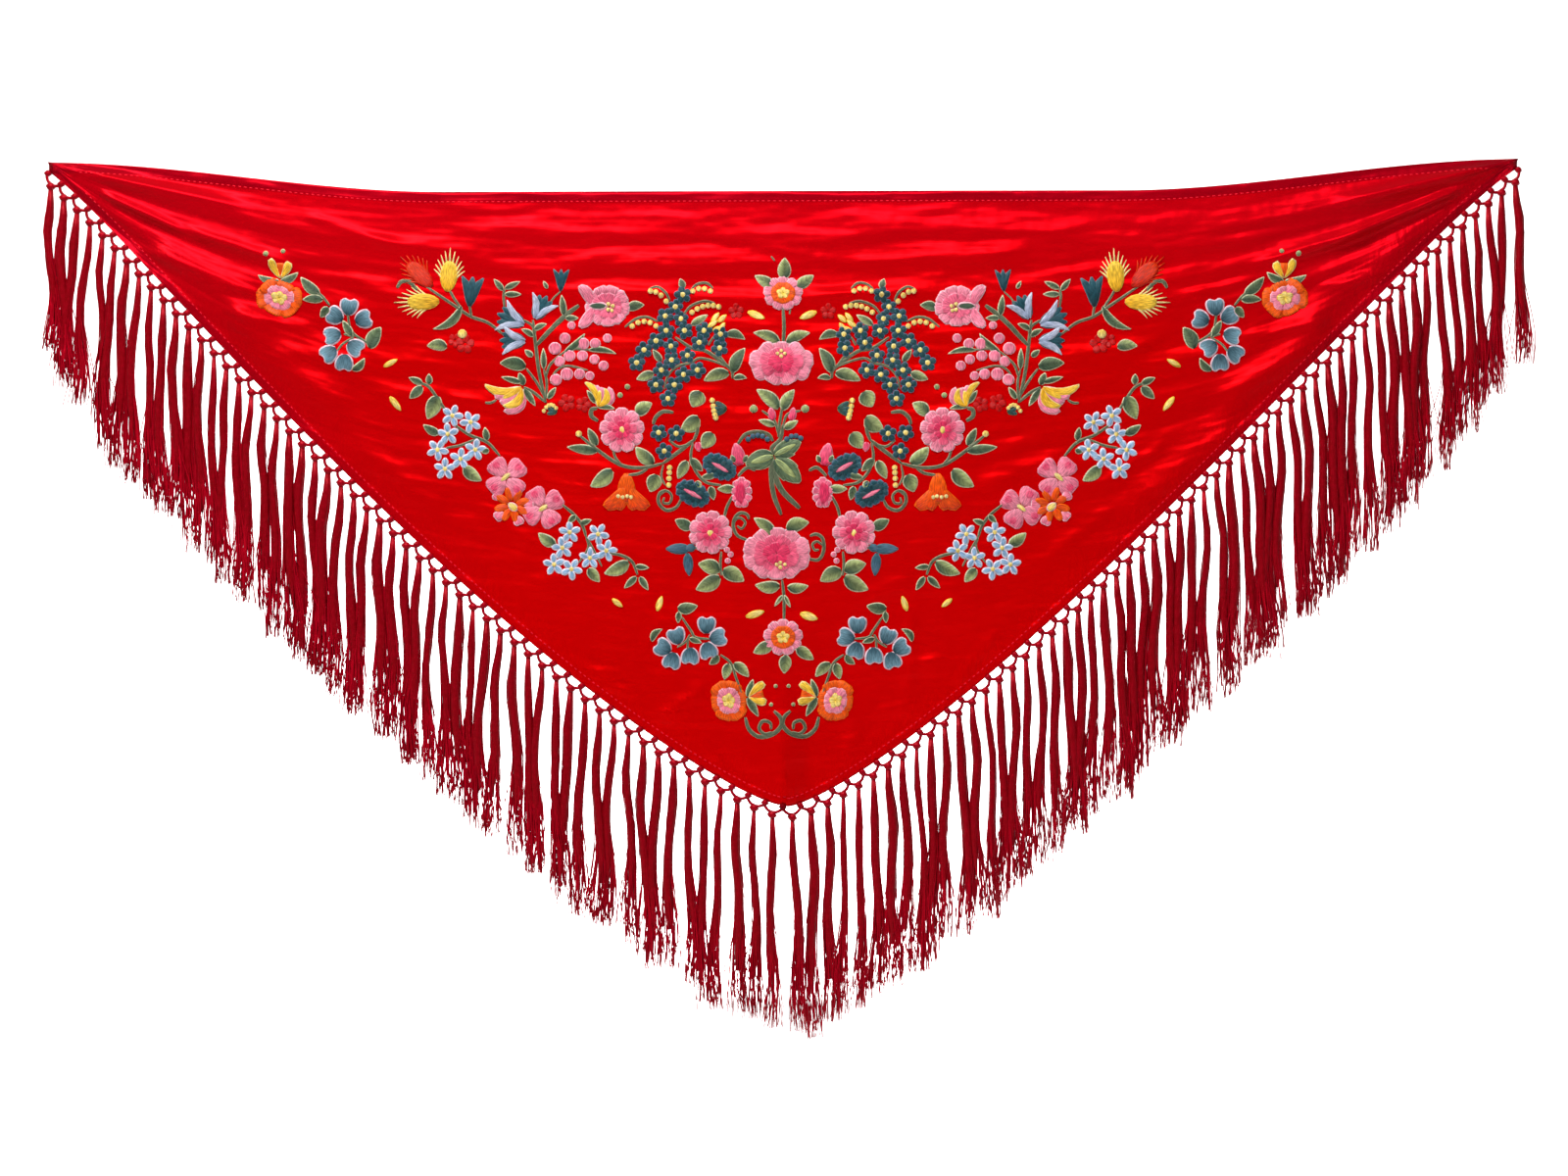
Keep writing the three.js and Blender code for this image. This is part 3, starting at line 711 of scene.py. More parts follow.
leaf = {"shape": (0.6, 0.9), "groove": 0.4, "slant": 0.5, "dome": 1.2, "cells": (7, 4)}
lobes = np.array(LOBED_LEAVES, float)
hearts_of_lobes = lobes * (1, 1, 1, 0.8, 0.34, 1)
side_lobes = np.concatenate([lobes * (1, 1, 1, 0.7, 0.5, 1) + (0, 0, turn, 0, 0, 0) for turn in (-24, 24)])
embroider(
    "leaves",
    [
        petals(both(LEAVES), DARK_GREEN, rim_width=1.0, **leaf),
        petals(both(PALE_LEAVES), PALE_GREEN, rim_width=1.2, **leaf),
        petals(MIDDLE_LEAVES, PALE_GREEN, rim_width=1.2, **leaf),
        petals(side_lobes, DARK_GREEN, rim_width=0.6, **leaf),
        petals(lobes, DARK_GREEN, rim_width=0.6, lift=0.6, shape=(0.55, 0.75), cells=(7, 4)),
        petals(hearts_of_lobes, (LEAF_MID, LEAF_LIGHT, LEAF_LIGHT),
               lift=1.5, shape=(0.6, 0.7), cells=(6, 4)),
    ],
)


# Stems and tendrils
# Rows of stem stitch in olive floss, like laid cord, with a paler thread along either edge. They run
# from leaf to leaf and curl up at their free ends.
STEM_GREEN = dyed(90, 98, 76)
STEM_RIM = dyed(146, 148, 118)


def smooth_path(points, steps):
    """A curve through given points: between two of them a cubic, with the slope at each point
    that of the line between its neighbours."""
    points = np.asarray(points, float)
    slopes = np.gradient(points, axis=0)
    t = np.linspace(0, len(points) - 1, steps)
    first = np.minimum(t.astype(int), len(points) - 2)
    f = (t - first)[:, None]
    start = points[first] * (1 + 2 * f) + slopes[first] * f
    end = points[first + 1] * (3 - 2 * f) - slopes[first + 1] * (1 - f)
    return start * (1 - f) ** 2 + end * f**2


def ribbons(rows, colour, rim, twin=True, lift=0.3, dome=0.8, steps=20, rim_width=0.7):
    """Rounded bands along smooth curves: a row is a width and then points across and down. Half the
    width is nearly even and shrinks at both ends."""
    routes = np.array([smooth_path(points, steps) for width, *points in rows])
    width = np.array([row[0] for row in rows], float)
    if twin:
        routes = np.concatenate([routes, routes * (-1, 1)])
        width = np.concatenate([width, width])
    routes = routes * (1, -1) + (WORK_MIDDLE, 0)
    along = np.gradient(routes, axis=1)
    pace = np.linalg.norm(along, axis=2, keepdims=True)
    along = along / pace
    s = np.linspace(0.01, 0.99, steps)[:, None]
    v = np.linspace(-1, 1, 5)
    half = width[:, None, None] / 2 * (4 * s * (1 - s)) ** 0.2
    px = routes[..., 0, None] - along[..., 1, None] * half * v
    pz = routes[..., 1, None] + along[..., 0, None] * half * v
    distance = np.cumsum(pace[..., 0], axis=1)[..., None] + 0 * px
    inner = np.array([*colour, 1.0])
    thread = np.stack([half * v + 0.5 * distance, distance, half * (1 - np.abs(v))], axis=-1)
    bulge = dome * np.sqrt(np.clip(1 - v * v, 0, 1)) + 0 * px
    return cushions(px, pz, bulge, lift, inner, np.array([*rim, rim_width]), thread)


# Width, then points across from the middle and down.
STEMS = [
    (3, (-518, 138), (-503, 144), (-492, 156)), (3, (-473, 164), (-468, 185), (-445, 200)),
    (2.5, (-466, 190), (-478, 198), (-484, 206)), (2.5, (-466, 190), (-477, 187)),
    (3.5, (-388, 135), (-357, 156), (-339, 168), (-320, 175), (-303, 188)),
    (3, (-362, 139), (-357, 148), (-350, 158)), (3, (-340, 156), (-338, 168)),
    (4, (-257, 262), (-264, 230), (-268, 200), (-271, 172)), (5.5, (-268, 200), (-240, 171), (-221, 156)),
    (3, (-257, 258), (-256, 240), (-259, 226)), (3, (-257, 258), (-267, 240), (-278, 225)),
    (3, (-257, 234), (-253, 222), (-246, 214)), (2.5, (-252, 241), (-246, 228), (-233, 222), (-211, 227)),
    (2.5, (-247, 214), (-230, 204), (-205, 205)), (2, (-241, 141), (-250, 150), (-256, 162)),
    (3.5, (-281, 245), (-270, 251), (-258, 261)), (3, (-323, 262), (-317, 262), (-311, 259)),
    (3, (-302, 158), (-303, 146), (-302, 138)), (3, (-281, 172), (-272, 178), (-268, 186)),
    (3.5, (-395, 240), (-384, 245), (-372, 262), (-365, 272)),
    (3.5, (-358, 285), (-340, 297), (-321, 305), (-307, 320)), (3, (-366, 311), (-350, 308), (-335, 302)),
    (3.5, (-239, 373), (-226, 384), (-217, 396), (-213, 408)),
    (2.5, (-213, 408), (-211, 420), (-221, 436)), (2.5, (-213, 408), (-206, 420), (-196, 440)),
    (3.5, (-192, 425), (-175, 428), (-163, 435), (-157, 449)),
    (4, (-221, 297), (-200, 314), (-175, 330), (-151, 333), (-129, 328)),
    (4.5, (-129, 328), (-110, 314), (-96, 303)), (4, (-96, 304), (-92, 293), (-92, 282)),
    (3, (-184, 312), (-181, 322), (-175, 329)), (3.5, (-146, 334), (-155, 339), (-167, 341)),
    (3, (-123, 303), (-112, 310), (-98, 306)), (2.5, (-129, 330), (-131, 342), (-127, 352)),
    (3.5, (-97, 306), (-99, 322), (-93, 338), (-82, 349), (-66, 352)),
    (3.5, (-54, 364), (-60, 376), (-63, 388)), (3, (-66, 424), (-67, 436), (-66, 450)),
    (3, (-88, 416), (-94, 420), (-102, 421)), (4, (-29, 336), (-38, 333), (-48, 342)),
    (4, (-54, 236), (-55, 227), (-67, 217), (-83, 206), (-98, 203), (-116, 191)),
    (3, (-58, 224), (-75, 217), (-90, 214), (-99, 219), (-114, 223), (-124, 233), (-128, 248)),
    (3, (-57, 226), (-67, 213), (-73, 207)), (2.5, (-80, 200), (-78, 196), (-75, 191)),
    (3, (-109, 495), (-99, 510), (-94, 517), (-79, 519)), (2.5, (-100, 514), (-105, 522), (-114, 528)),
    (2.5, (-102, 517), (-103, 534)), (3, (-67, 536), (-56, 545), (-50, 561), (-44, 578)),
    (5, (-40, 604), (-36, 617), (-25, 625), (-10, 622), (-1, 613), (-2, 604), (-9, 597)),
    (4, (-11, 620), (-19, 622), (-25, 616), (-21, 608), (-13, 610), (-12, 617)),
    (4, (-109, 366), (-115, 376), (-126, 379), (-134, 371), (-133, 361), (-126, 357)),
    (3, (-133, 363), (-126, 358), (-120, 363), (-122, 371), (-129, 371), (-128, 365)),
    (4.5, (-140, 286), (-137, 278), (-129, 272), (-118, 273)),
    (5, (-200, 282), (-207, 277), (-207, 270), (-201, 268)),
    (4.5, (-397, 140), (-405, 131), (-414, 130), (-419, 137)),
    (3, (-171, 180), (-159, 171), (-147, 169), (-135, 174)),
    (3, (-145, 139), (-136, 136), (-127, 142), (-122, 151)),
    (3, (-99, 139), (-92, 133), (-82, 132), (-75, 138)),
    (3, (-107, 166), (-99, 157), (-85, 152), (-73, 154)),
]
MIDDLE_STEMS = [
    (4, (1, 160), (2, 180), (1, 202)), (3.5, (0, 268), (-3, 286), (-4, 300)),
    (3, (-4, 297), (-9, 281), (-22, 271)), (3, (1, 286), (6, 275), (20, 271)),
    (4.5, (-9, 318), (-11, 311), (-2, 302), (1, 286)),
    (5.5, (-11, 325), (-12, 340), (-9, 363), (-1, 384)), (6.5, (-9, 325), (-8, 340), (0, 358), (19, 377)),
    (4.5, (-48, 307), (-40, 297), (-27, 294), (-15, 297), (-10, 304)),
    (3.5, (0, 455), (2, 475), (2, 500)),
    (4, (-36, 412), (-48, 407), (-53, 397), (-51, 387), (-45, 382), (-38, 384), (-36, 389)),
    (3, (-53, 394), (-49, 388), (-44, 388), (-40, 393), (-44, 399), (-49, 396)),
    (4, (26, 431), (39, 433), (45, 423), (44, 410), (37, 405), (30, 407)),
    (3, (44, 417), (38, 413), (33, 416), (35, 422), (40, 422)), (2, (-8, 108), (-12, 103)),
    (2, (9, 160), (8, 166)),
]

embroider(
    "stems",
    [
        ribbons(STEMS, STEM_GREEN, STEM_RIM),
        ribbons(MIDDLE_STEMS, STEM_GREEN, STEM_RIM, twin=False),
    ],
)


# Small flowers
# Five short petals of pale or dark blue floss round a knot of yellow, each petal edged in another
# shade, and heart-shaped blue petals that stand by themselves round their sprays.
SKY = dyed(164, 194, 222)
SKY_DEEP = dyed(104, 146, 190)
WHITE_RIM = dyed(234, 228, 242)
NAVY = dyed(32, 70, 76)
NAVY_RIM = dyed(88, 112, 136)
HEART_ROOT = dyed(20, 58, 70)
HEART_TIP = dyed(122, 162, 180)
BLUSH_RIM = dyed(236, 206, 218)
YOLK = dyed(248, 204, 70)
CREAM = dyed(246, 226, 150)
YELLOW_KNOT = (YOLK, CREAM, CREAM)
YELLOW_SEED = (YOLK, CREAM, YOLK)


def whorl(centres, count, inner, reach, width, squash=1.0, tilt=0.0):
    """Rows for petals set round flower centres, each given as across, down, turn and size: count of
    them, from the inner share of the size to the reach, on circles squashed down and then tilted."""
    across, down, turn, size = np.asarray(centres, float).T[:, :, None]
    angle = np.radians(turn + 360 * np.arange(count) / count)
    lean = np.radians(tilt)
    right, up = size * np.cos(angle), size * squash * np.sin(angle)
    right, up = right * np.cos(lean) - up * np.sin(lean), right * np.sin(lean) + up * np.cos(lean)
    direction = np.degrees(np.arctan2(up, right))
    length = (reach - inner) * np.hypot(right, up)
    columns = [across + inner * right, down - inner * up, direction, length, width * size, 0]
    return np.stack(np.broadcast_arrays(*columns), axis=-1).reshape(-1, 6)


def dots(rows):
    """Rows for round knots, each given as across, down and radius."""
    across, down, radius = np.asarray(rows, float).T
    nothing = 0 * across
    return np.stack([across, down + radius, nothing + 90, 2 * radius, 2 * radius, nothing], axis=-1)


# Across, down, turn in degrees and size.
FORGET_ME_NOTS = [
    (-359, 276, 70, 11), (-339, 283, 40, 11), (-364, 296, 95, 11), (-375, 313, 60, 11),
    (-334, 313, 80, 11), (-350, 323, 85, 11), (-367, 334, 88, 11), (-231, 403, 92, 11),
    (-200, 405, 60, 11), (-239, 420, 100, 11), (-191, 423, 75, 11), (-248, 438, 94, 11),
    (-209, 431, 88, 11), (-229, 443, 60, 11),
]
DARK_FLOWERS = [
    (-108, 145, 30, 9.2), (-116, 158, 80, 8.2), (-127, 168, 60, 9.2), (-110, 171, 20, 8.2),
    (-126, 184, 90, 9.2), (-106, 184, 40, 9.2), (-85, 184, 10, 9.2), (-67, 188, 70, 8.6),
    (-137, 195, 50, 9.2), (-121, 201, 20, 8.6), (-90, 197, 80, 9.2), (-150, 205, 30, 9.2),
    (-68, 203, 45, 9.2), (-158, 219, 85, 9.2), (-120, 216, 60, 9.2), (-103, 211, 15, 8.6),
    (-131, 227, 40, 9.2), (-92, 227, 65, 9.2), (-107, 232, 90, 9.2), (-137, 243, 25, 9.2),
    (-117, 243, 55, 9.2), (-124, 258, 90, 9.2), (-134, 295, 55, 9.2), (-115, 296, 85, 9.2),
    (-128, 315, 30, 9.2),
]
# Across and down of the middle, and the direction of the notch.
HEARTS = [
    (-471, 157, 84), (-487, 167, 150), (-455, 171, 15), (-490, 189, 195), (-464, 202, -30),
    (-493, 209, 215), (-476, 219, -95), (-82, 503, 90), (-69, 517, 15), (-115, 515, 110),
    (-130, 528, 150), (-80, 532, 285), (-100, 538, 265), (-120, 543, 255),
]
HEART_SIZE = 21

hearts = np.array(HEARTS, float)
turn = np.radians(hearts[:, 2])
root = hearts[:, :2] - np.stack([np.cos(turn), -np.sin(turn)], axis=-1) * HEART_SIZE / 2
sized = np.ones((len(hearts), 1)) * (HEART_SIZE, HEART_SIZE, 0)
heart_rows = both(np.concatenate([root, hearts[:, 2:], sized], axis=1))
heart = {"shape": (0.45, 0.28), "notch": 0.18, "cells": (7, 6), "rim_width": 1.6}
embroider("blue_hearts", [petals(heart_rows, (HEART_ROOT, HEART_TIP, BLUSH_RIM), **heart)])


def small_flowers(name, rows, whorls, look, knot, knot_lift, **style):
    """Five petals round a yellow knot at each row's place and at its twin."""
    rows = np.array(rows)
    rounds = petals(both(whorl(rows, 5, *whorls)), look, **style)
    knots_at = both(dots(rows[:, :3] * (1, 1, 0) + (0, 0, knot)))
    embroider(name, [rounds, petals(knots_at, YELLOW_KNOT, lift=knot_lift, dome=1.2)])


pale_style = {"shape": (0.7, 0.6), "rim_width": 1.4}
pale_blue = (SKY_DEEP, SKY, WHITE_RIM)
small_flowers("forget_me_nots", FORGET_ME_NOTS, (0.06, 1.15, 0.68), pale_blue, 2.6, 1.1, **pale_style)
dark_style = {"shape": (0.7, 0.5), "rim_width": 0.9, "lift": 0.6}
dark_blue = (NAVY, NAVY, NAVY_RIM)
small_flowers("dark_flowers", DARK_FLOWERS, (0.05, 1.06, 0.84), dark_blue, 3, 1.3, **dark_style)


# Roses and pink flowers
# Rounds of overlapping pink petals in long and short stitch, deep in the middle and pale at the
# scalloped edge, with a heart of yellow knots.
PINK_PALE = dyed(244, 148, 168)
PINK_MID = dyed(238, 104, 134)
PINK_DEEP = dyed(226, 52, 94)
PINK_RIM = dyed(252, 194, 206)
PINK = (PINK_MID, PINK_PALE, PINK_RIM)


def rose(centres, outer, squash=1.0, twin=True):
    """Lots for a full rose: three rounds of petals, each smaller, deeper in colour and higher. A round
    is a count of petals, their inner share, reach and width, their look, lift and turn."""
    rounds = [
        (outer, 0.3, 1.0, 0.6, PINK, 0.4, 0.0),
        (outer - 2, 0.15, 0.72, 0.52, (PINK_DEEP, PINK_MID, PINK_PALE), 1.0, 20.0),
        (5, 0.0, 0.44, 0.42, (PINK_DEEP, PINK_DEEP, PINK_MID), 1.6, 8.0),
    ]
    style = {"shape": (0.75, 0.42), "rim_width": 1.1, "dome": 1.2, "stagger": 0.3, "cells": (7, 4)}
    lots = []
    for count, inner, reach, width, look, lift, turn in rounds:
        rows = whorl(np.asarray(centres, float) + (0, 0, turn, 0), count, inner, reach, width, squash)
        lots.append(petals(both(rows) if twin else rows, look, lift=lift, **style))
    return lots


FULL_ROSES = [(-174, 292, 90, 25), (-78, 403, 80, 24)]
rose_hearts = [(-174, 292, 4), (-78, 404, 4)]
knots_round = [
    (-1, 212, 2.2), (-5, 209, 2), (3, 209, 2), (-1, 206, 2),
    (-2, 441, 2.4), (-6, 438, 2), (3, 438, 2), (-2, 436, 2),
]
embroider(
    "roses",
    rose(FULL_ROSES, 9)
    + rose([(-1, 219, 90, 36)], 9, squash=0.66, twin=False)
    + rose([(-6, 426, 90, 38)], 10, squash=0.76, twin=False)
    + [
        petals(both(dots(rose_hearts)), YELLOW_KNOT, lift=2.0, dome=1.2),
        petals(dots(knots_round), YELLOW_KNOT, lift=2.6, dome=1.2),
    ],
)

PINK_FLOWERS = [(-300, 343, 130, 24), (-260, 376, 122, 24)]
embroider(
    "pink_flowers",
    [
        petals(both(whorl(PINK_FLOWERS, 4, 0.08, 1.0, 0.95)), (PINK_PALE, PINK_MID, PINK_PALE),
               shape=BLUNT, rim_width=1.2, cells=(7, 4)),
        petals(both(whorl(PINK_FLOWERS, 4, 0.5, 0.9, 0.42)), (PINK_MID, PINK_DEEP, PINK_MID),
               lift=1.1, dome=0.5),
        petals(both([(-306, 347, 40, 13, 5, 0), (-265, 380, 35, 12, 5, 0)]), YELLOW_KNOT, lift=1.4),
    ],
)


# Orange flowers
# Petals of orange floss round a pink or yellow heart, and one bell-shaped bloom with cream knots along
# its mouth.
ORANGE = dyed(248, 98, 4)
ORANGE_DEEP = dyed(222, 56, 2)
BRIGHT_ORANGE = (ORANGE_DEEP, ORANGE, ORANGE)

# The petals of a framed flower's outer round are together this wide, in sizes of the flower, and its
# heart reaches this share of its ring.
ROUND_WIDTH = 5.4
HEART_SHARE = 0.56


def framed(centres, petals_round, ring, squash, tilt, twin, outer_look, ring_look):
    """Lots for a flower of a scalloped outer round, a ring inside it and a yellow heart."""
    outer = whorl(centres, petals_round, 0.25, 1.0, ROUND_WIDTH / petals_round, squash, tilt)
    inside = whorl(centres, petals_round, 0.1, ring, 0.6, squash, tilt)
    heart = whorl(centres, 5, 0.0, ring * HEART_SHARE, 0.32, squash, tilt)
    if twin:
        outer, inside, heart = both(outer), both(inside), both(heart)
    return [
        petals(outer, outer_look, shape=(0.7, 0.4), stagger=0.3, cells=(6, 4)),
        petals(inside, ring_look, shape=BLUNT, lift=1.0, rim_width=0.6),
        petals(heart, YELLOW_SEED, lift=1.7, dome=0.9),
    ]


BELL_DOTS = [(-178, 364, 2.2), (-173, 365, 2.2), (-168, 364, 2.2), (-164, 365, 2.2)]
bell = [
    (-169, 338, -90, 34, 20, 0), (-168, 352, -48, 34, 16, -10), (-170, 352, -132, 34, 16, 10),
    (-169, 350, -72, 31, 14, 0), (-169, 350, -108, 31, 14, 0),
]
star = [(-294, 373, 105, 20)]
embroider(
    "orange_flowers",
    framed([(-547, 148, 20, 26)], 6, 0.66, 0.74, -15, True, BRIGHT_ORANGE, PINK)
    + framed([(-58, 586, 80, 24)], 6, 0.66, 0.8, -70, True, BRIGHT_ORANGE, PINK)
    + framed([(1, 517, 90, 22)], 9, 0.62, 0.92, 0, False, PINK, BRIGHT_ORANGE)
    + framed([(1, 143, 90, 22)], 9, 0.62, 0.86, 0, False, PINK, BRIGHT_ORANGE)
    + [
        petals(both(whorl(star, 8, 0.2, 1.0, 0.42)), BRIGHT_ORANGE, lift=0.7, cells=(6, 4)),
        petals(both(whorl([(-294, 373, 148, 24)], 5, 0.5, 1.0, 0.5)), (PINK_PALE, PINK_MID, PINK_RIM),
               shape=BLUNT),
        petals(both([(-298, 371, -40, 13, 9, 0)]), (CREAM, YOLK, PINK_RIM), lift=1.5),
        petals(both(bell), (ORANGE, ORANGE_DEEP, ORANGE), shape=(0.6, 0.35), rim_width=0.8, cells=(7, 4)),
        petals(both(dots(BELL_DOTS)), (CREAM, CREAM, CREAM), lift=1.8, dome=1.4),
    ],
)


# Tulips, bells and buds
# Long petals that spread from one calyx: yellow tulips lined with pink, blue-white bells lined with
# dark teal, teal and pink buds, and the pink rose seen from the side.
TEAL = dyed(40, 84, 96)
TEAL_DEEP = dyed(24, 58, 66)
TEAL_RIM = dyed(84, 120, 130)
BELL_PALE = dyed(198, 202, 222)
BELL_BLUE = dyed(136, 152, 182)
YELLOW_DEEP = dyed(236, 168, 28)
DARK_TEAL = (TEAL_DEEP, TEAL, TEAL_RIM)
YELLOW = (YELLOW_DEEP, YOLK, CREAM)


def fan(bases, blades):
    """Rows for petals that spread from each base: a blade is a turn from the base's direction, shares
    of its length and width, and a bend."""
    across, down, direction, length, width = np.asarray(bases, float).T[:, :, None]
    turn, long, wide, bend = np.asarray(blades, float).T
    columns = [across, down, direction + turn, length * long, width * wide, bend]
    return np.stack(np.broadcast_arrays(*columns), axis=-1).reshape(-1, 6)


# Across, down, direction, length and width.
BLUE_BELLS = [(-280, 177, 158, 34, 26), (-269, 171, 62, 30, 26), (-279, 195, 178, 30, 26)]
YELLOW_TULIPS = [(-283, 245, 212, 44, 34)]
SMALL_TULIPS = [(-200, 267, 82, 33, 28)]
TEAL_TULIPS = [(-340, 158, 84, 36, 26), (-241, 141, 88, 26, 17)]
TEAL_BUDS = [(-99, 421, 180, 28, 12), (-103, 425, -85, 26, 11), (-94, 419, 190, 12, 9)]
PINK_BUDS = [(-45, 331, 103, 26, 15), (-92, 305, -80, 11, 8), (-10, 282, 100, 15, 9)]
CORNER_BUDS = [(-546, 127, 90, 24, 22), (-37, 582, 14, 24, 22)]

outer_blades = [(33, 1.0, 0.32, -10), (-33, 1.0, 0.32, 10)]
inside_blades = [(16, 0.92, 0.44, 0), (-16, 0.92, 0.44, 0), (0, 0.98, 0.4, 0)]
lining = np.array([(24, 0.78, 0.44, 22), (4, 0.68, 0.34, 4), (-13, 0.74, 0.34, 4)])
lining = np.concatenate([fan(YELLOW_TULIPS, lining), fan(SMALL_TULIPS, lining * (-1, 1, 1, -1))])
yellow = np.array([(-36, 0.95, 0.3, 17), (13, 0.68, 0.32, 26), (-2, 0.56, 0.24, 0)])
yellow = np.concatenate([fan(YELLOW_TULIPS, yellow), fan(SMALL_TULIPS, yellow * (-1, 1, 1, -1))])
embroider(
    "bells_and_tulips",
    [
        petals(both(fan(BLUE_BELLS, inside_blades)), DARK_TEAL, shape=POINTED, rim_width=0.6),
        petals(both(fan(BLUE_BELLS, outer_blades)), (BELL_BLUE, BELL_PALE, BELL_PALE),
               shape=(0.5, 0.8), lift=1.0),
        petals(both(lining), PINK, shape=(0.6, 0.45), rim_width=0.8, cells=(7, 4)),
        petals(both(yellow), YELLOW, shape=ROUND, lift=1.0, rim_width=0.8, cells=(8, 4)),
        petals(both(fan(TEAL_TULIPS, [(20, 1.0, 0.4, -8), (-20, 1.0, 0.4, 8), (0, 0.95, 0.44, 0)])),
               DARK_TEAL, shape=POINTED, rim_width=0.7),
        petals(both(fan(TEAL_BUDS, [(0, 1, 1, 0)])), (TEAL, NAVY_RIM, TEAL_RIM),
               shape=(0.6, 0.8), rim_width=0.8),
        petals(both(fan(PINK_BUDS, [(0, 1, 1, 0)])), (PINK_DEEP, PINK_MID, PINK_PALE),
               shape=(0.45, 0.7), rim_width=0.9),
        petals(both(fan(CORNER_BUDS, [(0, 0.72, 0.7, 0)])), BRIGHT_ORANGE, shape=(0.6, 0.3)),
        petals(both(fan(CORNER_BUDS, [(27, 1.0, 0.42, 4), (-30, 0.88, 0.42, -4)])), YELLOW,
               shape=(0.9, 0.35), lift=1.0, rim_width=0.8, cells=(6, 4)),
    ],
)

SIDE_ROSE = [(-190, 157, 72, 25)]
side_petals = [(-206, 157, 122, 27, 13, -8), (-206, 158, 238, 27, 13, 8)]
side_eye = [(-211, 157, 0, 22, 10, 0)]
side_knots = [(-189, 155, 2.2), (-184, 157, 2.2), (-189, 161, 2.2), (-185, 162, 2)]
BEAN_FLOWERS = [(-44, 360, 90, 11.5)]
OVALS = [(-68, 332, 0, 20), (-97, 361, 0, 20)]
strips = [(-77, 327, -30, 22, 5, 0), (-107, 356, -28, 23, 5, 0)]
embroider(
    "side_flowers",
    [
        petals(both(whorl(SIDE_ROSE, 9, 0.3, 1.0, 0.66, squash=0.9)), PINK,
               shape=(0.75, 0.3), cells=(6, 4)),
        petals(both(whorl(SIDE_ROSE, 8, 0.1, 0.72, 0.5, squash=0.8)), (PINK_MID, PINK_MID, PINK_PALE),
               shape=(0.75, 0.3), lift=0.9),
        petals(both(side_petals), PINK, lift=1.2, cells=(6, 4)),
        petals(both(side_eye), (LEAF_DARK, LEAF_DARK, PINK_RIM), lift=1.7, rim_width=1.8, shape=(0.6, 0.6)),
        petals(both(dots(side_knots)), YELLOW_KNOT, lift=2.6, dome=1.3),
        petals(both(whorl(BEAN_FLOWERS, 9, 0.3, 1.0, 0.8, squash=1.5)), (PINK_MID, PINK_MID, PINK_RIM),
               shape=(0.7, 0.4)),
        petals(both([(-44, 373, 90, 26, 13, 8)]), (PINK_DEEP, PINK_DEEP, PINK_MID),
               lift=1.0, shape=ROUND),
        petals(both(whorl(OVALS, 12, 0.45, 1.0, 0.44, squash=0.66, tilt=-28)), (NAVY, TEAL, NAVY_RIM),
               shape=BLUNT, rim_width=1.1),
        petals(both(whorl(OVALS, 10, 0.05, 0.8, 0.4, squash=0.6, tilt=-28)), (NAVY, TEAL_DEEP, TEAL),
               lift=0.8),
        petals(both(strips), (PINK_MID, PINK_PALE, PINK_MID), lift=1.5, shape=ROUND),
    ],
)


# Ears of wheat
# A plump body of short stitches with long bristles that curve out from beneath it, two in yellow and
# one in orange.
EARS = [(-364, 142, 86, 50, 19), (-372, 152, 181, 52, 18)]
RED_EAR = [(-380, 136, 137, 50, 19)]
RUST = dyed(204, 30, 0)
bristles = [(turn, 1 - abs(turn) * 0.011, 0.13, -turn * 0.25) for turn in range(-35, 36, 7)]
embroider(
    "wheat_ears",
    [
        petals(both(fan(EARS, bristles)), YELLOW_KNOT, shape=(0.3, 0.5), cells=(6, 2)),
        petals(both(fan(EARS, [(0, 0.7, 1.0, 0)])), (YELLOW_DEEP, YOLK, YOLK),
               lift=1.0, dome=1.4, cells=(7, 6)),
        petals(both(fan(RED_EAR, bristles)), (RUST, RUST, ORANGE_DEEP), shape=(0.3, 0.5), cells=(6, 2)),
        petals(both(fan(RED_EAR, [(0, 0.78, 1.0, 0)])), (RUST, ORANGE_DEEP, RUST),
               lift=1.0, dome=1.4, cells=(7, 6)),
    ],
)


# Berries and seeds
# Round pink berries in satin stitch, strings of small yellow knots under their arched stems, slim
# yellow seeds scattered over the ground and a few small flowers in the red of the ground itself.
RED_FLOSS = dyed(192, 0, 4)
RED_FLOWERS = [
    (-345, 198, 10, 11), (-234, 262, 40, 10), (-216, 264, 70, 9), (-50, 163, 20, 9), (-356, 194, 60, 8),
]
BERRIES = [
    (-229, 178, 4.5), (-236, 192, 6), (-247, 203, 7), (-242, 217, 6), (-231, 211, 6.5), (-217, 211, 6),
    (-204, 215, 5.5), (-194, 222, 5.5), (-216, 198, 6.5), (-203, 198, 6), (-190, 192, 5), (-246, 237, 6.5),
    (-234, 231, 7), (-220, 231, 6), (-209, 233, 5), (-60, 422, 3.3), (-56, 427, 3.3), (-59, 434, 3.3),
]
SEEDS = [
    (-434, 223, 28, 18, 6, 0), (-427, 255, -52, 20, 7, 0), (-185, 475, -38, 15, 6, 0),
    (-136, 489, 72, 18, 7, 0), (-38, 163, -22, 21, 8, 0), (-81, 181, 38, 14, 6, 0),
    (-77, 175, 52, 14, 6, 0), (-70, 175, 42, 13, 6, 0), (-69, 186, 58, 13, 6, 0),
    (-76, 184, 20, 12, 5, 0),
]
MIDDLE_SEEDS = [(-40, 495, 17, 22, 8, 0), (19, 491, -18, 21, 9, 0)]
# Across, down, direction, length and width of leaves split into three.
FAN_LEAVES = [(-60, 269, 180, 15, 15), (-245, 273, 155, 11, 12)]
